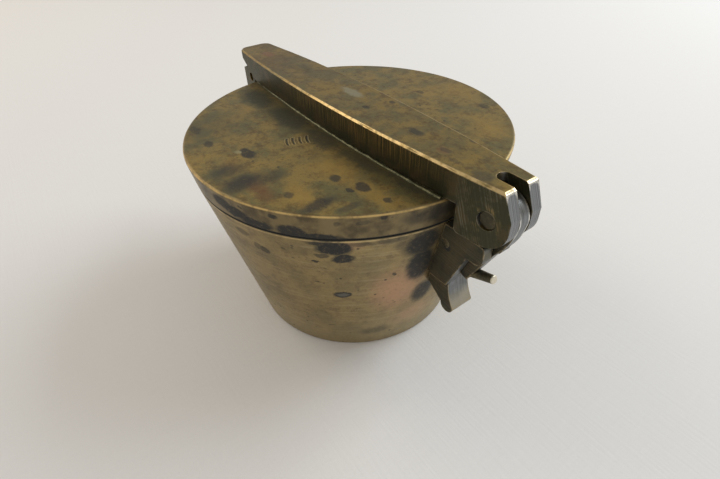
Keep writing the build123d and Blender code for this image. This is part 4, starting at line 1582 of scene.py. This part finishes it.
@dataclass(frozen=True)
class ClaspFinish(Brass):
    """The catch, hasp and hinge bracket: dark brown filed sides, and outward faces in grey, partly worn metal
    and partly a painted reflection, with painted highlights on the fork's top edges.
    """

    name: str = "clasp_old_brass"
    gold: Colour = (0.090, 0.080, 0.048)
    olive: Colour = (0.050, 0.053, 0.037)
    brown: Colour = (0.072, 0.050, 0.030)
    silver: Colour = (0.280, 0.292, 0.300)
    silver_dark: Colour = (0.140, 0.148, 0.150)
    cream: Colour = (0.400, 0.365, 0.285)
    nose: Colour = (0.120, 0.105, 0.062)
    file_mark: Colour = (0.200, 0.165, 0.105)
    edge_gold: Colour = (0.400, 0.320, 0.190)
    edge_highlight: Colour = (0.850, 0.840, 0.800)

    NOSE_HEIGHT = 22.3
    NOSE_ALONG = (26.4, 26.2)
    TAIL_DOWN = (14.6, 12.6)
    TAIL_ALONG = (23.6, 23.2)
    FORK_UP = (24.5, 25.5)

    DARK_SPOT = PlacedPatch((447, 247), (0.5, 0.8, 0.5), 0.9, 0.4)

    def material(self) -> bpy.types.Material:
        """Makes the finish.

        Returns:
            The material, named after the finish.
        """
        shade = Shade(self.name)
        face_x, face_y, face_z = shade.facing()
        edge = shade.noted("edge")
        on_side = face_y.size().ramp(0.7, 0.9)
        outward = face_x.ramp(0.25, 0.6)
        coat = self.base(shade)
        # Painted reflection: faces that point +X take a grey metal colour, partly worn metal and partly the
        # pale floor and window painted in.
        lines = shade.lines(shade.y + shade.grain(1.2) * 0.2, 0.16)
        silver = shade.mix(lines.ramp(0.3, 0.7), self.silver_dark, self.silver)
        wear_and_sheen = outward * (shade.grain(1.4, 3.0).ramp(0.3, 0.6) * 0.4 + 0.6)
        coat.lay(wear_and_sheen, silver, 0.4, 0.9)
        on_nose = outward * shade.z.near(self.NOSE_HEIGHT, 1.6) * shade.x.ramp(*self.NOSE_ALONG)
        coat.lay(on_nose * 0.85, self.nose, 0.42)
        low = (shade.z + shade.grain(1.2, 4.0) * 1.6).ramp(*self.TAIL_DOWN)
        tail = outward * low * shade.x.ramp(*self.TAIL_ALONG)
        coat.lay(tail * 0.85, self.cream, 0.4)
        filed = shade.lines(shade.z + shade.x * 0.12 + shade.grain(1.5) * 0.25, 0.17)
        coat.lay(on_side * filed.ramp(0.5, 0.75) * 0.45, self.file_mark, 0.38)
        spot = self.patches(shade, (self.DARK_SPOT,), on_clasp)
        coat.lay(spot.high_of(self.specks(shade) * 0.6) * on_side, self.stain_and_shade, 0.6, 0.3)
        patchy = shade.grain(0.8, 4.0).ramp(0.36, 0.6)
        coat.lay(edge.ramp(0.2, 0.04) * (patchy * 0.6 + 0.04), self.edge_gold, 0.34, 1.0)
        # Painted highlight on the edges of the fork's outward faces.
        edge_highlight = edge.ramp(0.3, 0.05) * outward * shade.z.ramp(*self.FORK_UP)
        coat.lay(edge_highlight * (patchy * 0.6 + 0.4), self.edge_highlight, 0.28, 1.0)
        # Darker within 0.5 mm of inner corners.
        coat.lay(shade.noted("nook").ramp(0.5, 0.0) * 0.8, self.stain_and_shade, 0.6, 0.3)
        height = (filed * on_side * 1.6 + shade.grain(0.2, 3.0) * 0.4 + shade.grain(2.0, 2.0) * 1.5
                  + outward * lines)
        return coat.done(shade.bumped(height, 0.014))


@dataclass(frozen=True)
class PinFinish(Brass):
    """Pins and rivets: dark olive, with a brighter end where one is named."""

    name: str = "pin_old_brass"
    gold: Colour = (0.150, 0.125, 0.070)
    olive: Colour = (0.075, 0.070, 0.045)
    brown: Colour = (0.055, 0.040, 0.026)
    mottle: float = 1.6
    tip: Point | None = None
    way: Point = (0.0, 0.0, 1.0)
    tip_colour: Colour = (0.80, 0.74, 0.60)

    def material(self) -> bpy.types.Material:
        """Makes the finish.

        Returns:
            The material, named after the finish.
        """
        shade = Shade(self.name)
        coat = self.base(shade)
        if self.tip is not None:
            at_tip = shade.along(Vector(self.tip), Vector(self.way)).ramp(-0.22, -0.08)
            coat.lay(at_tip * 0.9, self.tip_colour, 0.36, 0.8)
        height = shade.grain(0.18, 4.0) + shade.grain(0.9, 2.0)
        return coat.done(shade.bumped(height, 0.012))


@dataclass(frozen=True)
class SolderFinish(Brass):
    """The thin pale line at the bar's foot."""

    name: str = "solder_line"
    gold: Colour = (0.150, 0.148, 0.084)
    olive: Colour = (0.085, 0.086, 0.050)
    brown: Colour = (0.040, 0.039, 0.024)
    mottle: float = 0.9

    def material(self) -> bpy.types.Material:
        """Makes the finish.

        Returns:
            The material, named after the finish.
        """
        shade = Shade(self.name)
        return self.base(shade).done(shade.bumped(shade.grain(0.3, 4.0), 0.02))


@dataclass(frozen=True)
class CupFinish(Brass):
    """The cups inside: cleaner turned brass with fine rings."""

    name: str = "cup_turned_brass"
    gold: Colour = (0.55, 0.40, 0.17)
    olive: Colour = (0.40, 0.30, 0.13)
    brown: Colour = (0.28, 0.19, 0.09)
    rough: float = 0.34
    metal: float = 0.95
    mottle: float = 3.0

    def material(self) -> bpy.types.Material:
        """Makes the finish.

        Returns:
            The material, named after the finish.
        """
        shade = Shade(self.name)
        coat = self.base(shade)
        coat.lay(self.specks(shade) * 0.5, self.stain_and_shade, 0.6)
        height = shade.lines(shade.radius + shade.z, 0.11) * 0.8 + shade.grain(0.2, 3.0) * 0.3
        return coat.done(shade.bumped(height, 0.012))


# Sub-assemblies


@dataclass
class Assembly:
    """Pieces of one sub-assembly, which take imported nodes' places."""

    shop: Workshop
    finishes: dict[Slot, bpy.types.Material]
    body: Body = Body.CASE

    def stand_in(self, piece: bpy.types.Object, slot: Slot, node: str, body: str = "") -> None:
        """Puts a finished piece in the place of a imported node.

        Args:
            piece: The piece.
            slot: Its material slot.
            node: The node that it stands for.
            body: The body that it rides, where it isn't the sub-assembly's.
        """
        self.add(piece, slot, body)
        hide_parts(node)

    def add(self, piece: bpy.types.Object, slot: Slot, body: str = "") -> None:
        """Lets a finished piece ride a body.

        Args:
            piece: The piece.
            slot: Its material slot; not used.
            body: The body, where it isn't the sub-assembly's.
        """
        body = body or self.body.value
        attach(piece, body)
        LOG.info("%s: %d faces, on %s", piece.name, len(piece.data.polygons), body)


@dataclass
class CaseAssembly(Assembly):
    """The case with what is fixed to its wall: the hinge bracket and the catch."""

    seam_round: float = 0.24
    base_round: float = 0.45
    lip_round: float = 0.15
    segments: int = 256
    sink: float = 0.03
    wave: float = 7.0
    seed: float = 2.0
    broken: float = 0.13
    cell: float = 0.4
    pin_round: float = 0.08
    wall_rivet_radius: float = 0.5
    wall_rivet_inset: float = 0.02

    def build(self) -> None:
        """Builds every piece."""
        self.cup()
        for node in ("hinge_bracket", "catch_block"):
            piece = self.shop.filed(node, self.finishes[Slot.CLASP], self.broken, self.cell)
            self.stand_in(piece, Slot.CLASP, node)
        for node in ("hinge_pin", "catch_cross_pin"):
            piece = self.shop.pin(node, Axis.ACROSS, self.pin_round, self.finishes[Slot.PIN])
            self.stand_in(piece, Slot.PIN, node)
        self.rivets("hinge_bracket_rivets", -1)
        self.rivets("catch_block_rivets", 1)

    def cup(self) -> None:
        """The turned cup."""
        outline = rounded([
            (0, 0, 0),
            (SIZES.base_radius, 0, self.base_round),
            (SIZES.rim_radius, SIZES.case_height, self.seam_round),
            (SIZES.inside(SIZES.case_height), SIZES.case_height, self.lip_round),
            (SIZES.inside(SIZES.case_floor), SIZES.case_floor, self.lip_round),
            (0, SIZES.case_floor, 0),
        ])
        cup = self.shop.turned("case_turned", outline, self.finishes[Slot.CASE], self.segments,
                               self.sink, self.wave, self.seed)
        self.stand_in(cup, Slot.CASE, "case_cup")

    def rivets(self, node: str, side: int) -> None:
        """A pair of rivets through the wall.

        Args:
            node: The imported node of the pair.
            side: 1 at the clasp and -1 at the hinge.
        """
        low, high = span(node)
        inner, outer = (low.x, high.x) if side > 0 else (high.x, low.x)
        z = (low.z + high.z) / 2
        spread = high.y - self.wall_rivet_radius
        places = [(inner + self.wall_rivet_inset * side, y, z) for y in (-spread, spread)]
        length = abs(outer - inner) - self.wall_rivet_inset
        way = Vector(Axis.ALONG.value) * side
        group = self.shop.rivets(f"{node}_turned", places, self.wall_rivet_radius, length, way,
                                 self.finishes[Slot.PIN])
        self.stand_in(group, Slot.PIN, node)


@dataclass
class LidAssembly(Assembly):
    """The lid with its bar, rivets, solder line and the pin that the hasp swings on."""

    body: Body = Body.LID
    top_round: float = 0.32
    seam_round: float = 0.24
    lip_round: float = 0.15
    segments: int = 256
    sink: float = 0.035
    wave: float = 6.0
    seed: float = 5.0
    broken: float = 0.1
    cell: float = 0.4
    pin_round: float = 0.12
    bead_radius: float = 0.4
    bead_steps: int = 160
    bead_short: float = 0.6
    bead_out: float = 0.05
    bead_sunk: float = 0.1
    rivet_radius: float = 0.9
    rivet_proud: float = 0.05

    def build(self) -> None:
        """Builds every piece."""
        self.disc()
        bar = self.shop.filed("lid_bar", self.finishes[Slot.BAR], self.broken, self.cell)
        self.stand_in(bar, Slot.BAR, "lid_bar")
        self.solder()
        self.rivets()
        pin = self.shop.pin("hasp_pivot_pin", Axis.ACROSS, self.pin_round, self.finishes[Slot.PIN])
        self.stand_in(pin, Slot.PIN, "hasp_pivot_pin")

    def disc(self) -> None:
        """The turned lid."""
        low, seat = SIZES.spigot_bottom + self.rivet_proud, SIZES.case_height
        gap = SIZES.across(SIZES.spigot_gap)
        outline = rounded([
            (0, low, 0),
            (SIZES.inside(low) - gap, low, self.lip_round),
            (SIZES.inside(seat) - gap, seat, 0),
            (SIZES.rim_radius, seat, self.seam_round),
            (SIZES.lid_radius, SIZES.lid_top, self.top_round),
            (0, SIZES.lid_top, 0),
        ])
        disc = self.shop.turned("lid_turned", outline, self.finishes[Slot.LID], self.segments,
                                self.sink, self.wave, self.seed)
        self.stand_in(disc, Slot.LID, "lid_disc")

    def solder(self) -> None:
        """The bead of solder along the bar's foot, on both sides."""
        material = SolderFinish().material()
        first, last = -SIZES.lid_radius + self.bead_short, SIZES.lid_radius - self.bead_short
        places = [first + (last - first) * step / self.bead_steps for step in range(self.bead_steps + 1)]
        height = SIZES.lid_top - self.bead_sunk
        for name, side in (("near", -1), ("far", 1)):
            path = [(x, side * (SIZES.bar_half_width(x) + self.bead_out), height) for x in places]
            self.add(self.shop.bead(f"solder_line_{name}", path, self.bead_radius, material), Slot.BAR)

    def rivets(self) -> None:
        """The rivets from the lid up into the bar."""
        low, high = span("bar_rivets")
        last = high.x - self.rivet_radius
        places = [(x, 0.0, low.z) for x in (-last, 0.0, last)]
        group = self.shop.rivets("bar_rivets_turned", places, self.rivet_radius, high.z - low.z,
                                 Vector(Axis.UP.value), self.finishes[Slot.PIN])
        self.stand_in(group, Slot.PIN, "bar_rivets")


@dataclass
class HaspAssembly(Assembly):
    """The hasp and the tapered pin that pulls it."""

    body: Body = Body.HASP
    pull_root_radius: float = 0.675
    pull_tip_radius: float = 0.5
    pull_length: float = 3.9
    pull_tilt: float = math.radians(19)
    pull_setback: float = 2.9
    pull_height: float = 17.05
    broken: float = 0.1
    cell: float = 0.4

    def build(self) -> None:
        """Builds both pieces."""
        hasp = self.shop.filed("hasp", self.finishes[Slot.CLASP], self.broken, self.cell)
        self.stand_in(hasp, Slot.CLASP, "hasp")
        way = Vector((math.cos(self.pull_tilt), 0.0, math.sin(self.pull_tilt)))
        foot = Vector((SIZES.pivot_x - self.pull_setback, 0.0, self.pull_height))
        tip = tuple(foot + way * self.pull_length)
        finish = PinFinish("pull_pin_old_brass", tip=tip, way=tuple(way)).material()
        outline = rounded([
            (0, 0, 0),
            (self.pull_root_radius, 0, 0.05),
            (self.pull_tip_radius, self.pull_length, 0.14),
            (0, self.pull_length, 0),
        ], 0.2)
        pull = self.shop.turned("hasp_pull_pin_turned", outline, finish, 64, 0.02, 1.5, 9.0)
        self.shop.lay(pull, way, foot)
        self.stand_in(pull, Slot.PIN, "hasp_pull_pin")


@dataclass
class NestAssembly(Assembly):
    """The cups that nest in the case, the largest first, and the solid weight in the middle."""

    walls: tuple[float, ...] = (3.05, 2.35, 1.78, 1.33, 0.98, 0.7)
    floors: tuple[float, ...] = (3.95, 3.05, 2.3, 1.75, 1.25, 0.9)
    edge_round: float = 0.14
    segments: int = 160
    sink: float = 0.015
    wave: float = 5.0

    def build(self) -> None:
        """Builds every cup and the weight."""
        room = SIZES.inside(SIZES.case_floor)
        for index, (wall, floor) in enumerate(zip(self.walls, self.floors), 1):
            base = room - SIZES.across(SIZES.cup_gap)
            self.cup(index, base, wall, floor)
            room = base + SIZES.slope * floor - SIZES.across(wall)
        low, high = (corner.z for corner in span("centre_weight"))
        base = room - SIZES.across(SIZES.cup_gap)
        head = base + SIZES.slope * (high - low)
        outline = rounded([
            (0, low, 0),
            (base, low, self.edge_round),
            (head, high, self.edge_round),
            (0, high, 0),
        ], 0.2)
        weight = self.shop.turned("centre_weight_turned", outline, self.finishes[Slot.CUP], 96)
        self.stand_in(weight, Slot.CUP, "centre_weight", "centre")

    def cup(self, index: int, base: float, wall: float, floor: float) -> None:
        """One cup.

        Args:
            index: Its number, 1 for the largest.
            base: The radius of its base.
            wall: The thickness of its wall, square to it.
            floor: The thickness of its floor.
        """
        node = f"nest_cup_{index}"
        low, high = (corner.z for corner in span(node))
        rim = base + SIZES.slope * (high - low)
        outline = rounded([
            (0, low, 0),
            (base, low, self.edge_round),
            (rim, high, self.edge_round),
            (rim - SIZES.across(wall), high, self.edge_round),
            (base + SIZES.slope * floor - SIZES.across(wall), low + floor, self.edge_round),
            (0, low + floor, 0),
        ])
        cup = self.shop.turned(f"{node}_turned", outline, self.finishes[Slot.CUP], self.segments,
                               self.sink, self.wave, index)
        self.stand_in(cup, Slot.CUP, node, f"cup_{index}")


@dataclass(frozen=True)
class SoftLight:
    """One square soft light that points at the object, in metres and watts."""

    name: str
    place: Point
    side: float
    power: float
    colour: Colour


@dataclass
class Stage:
    """The pale floor and the soft studio light."""

    floor_reach: float = 3.0
    floor_colour: Colour = (0.80, 0.79, 0.78)
    room_colour: Colour = (1.0, 0.96, 0.90)
    room_strength: float = 0.56
    lights: tuple[SoftLight, ...] = (
        SoftLight("window", (0.12, 0.43, 0.33), 0.30, 1.75, (0.88, 0.95, 1.0)),
        SoftLight("lamp", (-0.35, -0.15, 0.30), 0.22, 0.4, (1.0, 0.86, 0.68)),
    )
    aim: Point = (0.0, 0.0, 0.015)

    def build(self) -> None:
        """Makes the floor, the lights and the surroundings."""
        self.floor()
        for light in self.lights:
            self.hang(light)
        self.surroundings()

    def floor(self) -> None:
        """A plain floor with a faint cloth grain."""
        reach = self.floor_reach
        mesh = bpy.data.meshes.new("floor")
        corners = [(-reach, -reach, 0), (reach, -reach, 0), (reach, reach, 0), (-reach, reach, 0)]
        mesh.from_pydata(corners, [], [(0, 1, 2, 3)])
        floor = bpy.data.objects.new("floor", mesh)
        bpy.context.scene.collection.objects.link(floor)
        shade = Shade("floor_pale")
        thread = shade.grain(0.4, 3.0, shade.stretched(1.0, 0.05, 1.0))
        tone = shade.mix(thread * 0.25, self.floor_colour, tuple(0.9 * c for c in self.floor_colour))
        height = thread + shade.grain(0.4, 3.0, shade.stretched(0.05, 1.0, 1.0))
        floor.data.materials.append(Coat(shade, tone, 0.9, 0.0).done(shade.bumped(height, 0.03)))

    def hang(self, light: SoftLight) -> None:
        """Hangs one light.

        Args:
            light: The light.
        """
        data = bpy.data.lights.new(light.name, "AREA")
        data.shape = "SQUARE"
        data.size = light.side
        data.energy = light.power
        data.color = light.colour
        lamp = bpy.data.objects.new(light.name, data)
        place = Vector(light.place)
        aim = (Vector(self.aim) - place).to_track_quat("-Z", "Y").to_matrix().to_4x4()
        lamp.matrix_world = Matrix.Translation(place) @ aim
        bpy.context.scene.collection.objects.link(lamp)

    def surroundings(self) -> None:
        """An even pale room."""
        world = bpy.data.worlds.new("room")
        world.use_nodes = True
        back = world.node_tree.nodes["Background"]
        back.inputs["Color"].default_value = (*self.room_colour, 1.0)
        back.inputs["Strength"].default_value = self.room_strength
        bpy.context.scene.world = world


def main() -> None:
    """Builds the stage and dresses every sub-assembly in order."""
    logging.basicConfig(level=logging.INFO, format="%(name)s: %(message)s")
    bpy.context.scene.view_settings.view_transform = "Standard"
    CAMERA.build()
    Stage().build()
    finishes = {
        Slot.CASE: CaseFinish().material(),
        Slot.LID: LidFinish().material(),
        Slot.BAR: BarFinish().material(),
        Slot.CLASP: ClaspFinish().material(),
        Slot.PIN: PinFinish().material(),
        Slot.CUP: CupFinish().material(),
    }
    shop = Workshop()
    for assembly in (CaseAssembly, LidAssembly, HaspAssembly, NestAssembly):
        assembly(shop, finishes).build()


if __name__ == "__main__":
    main()
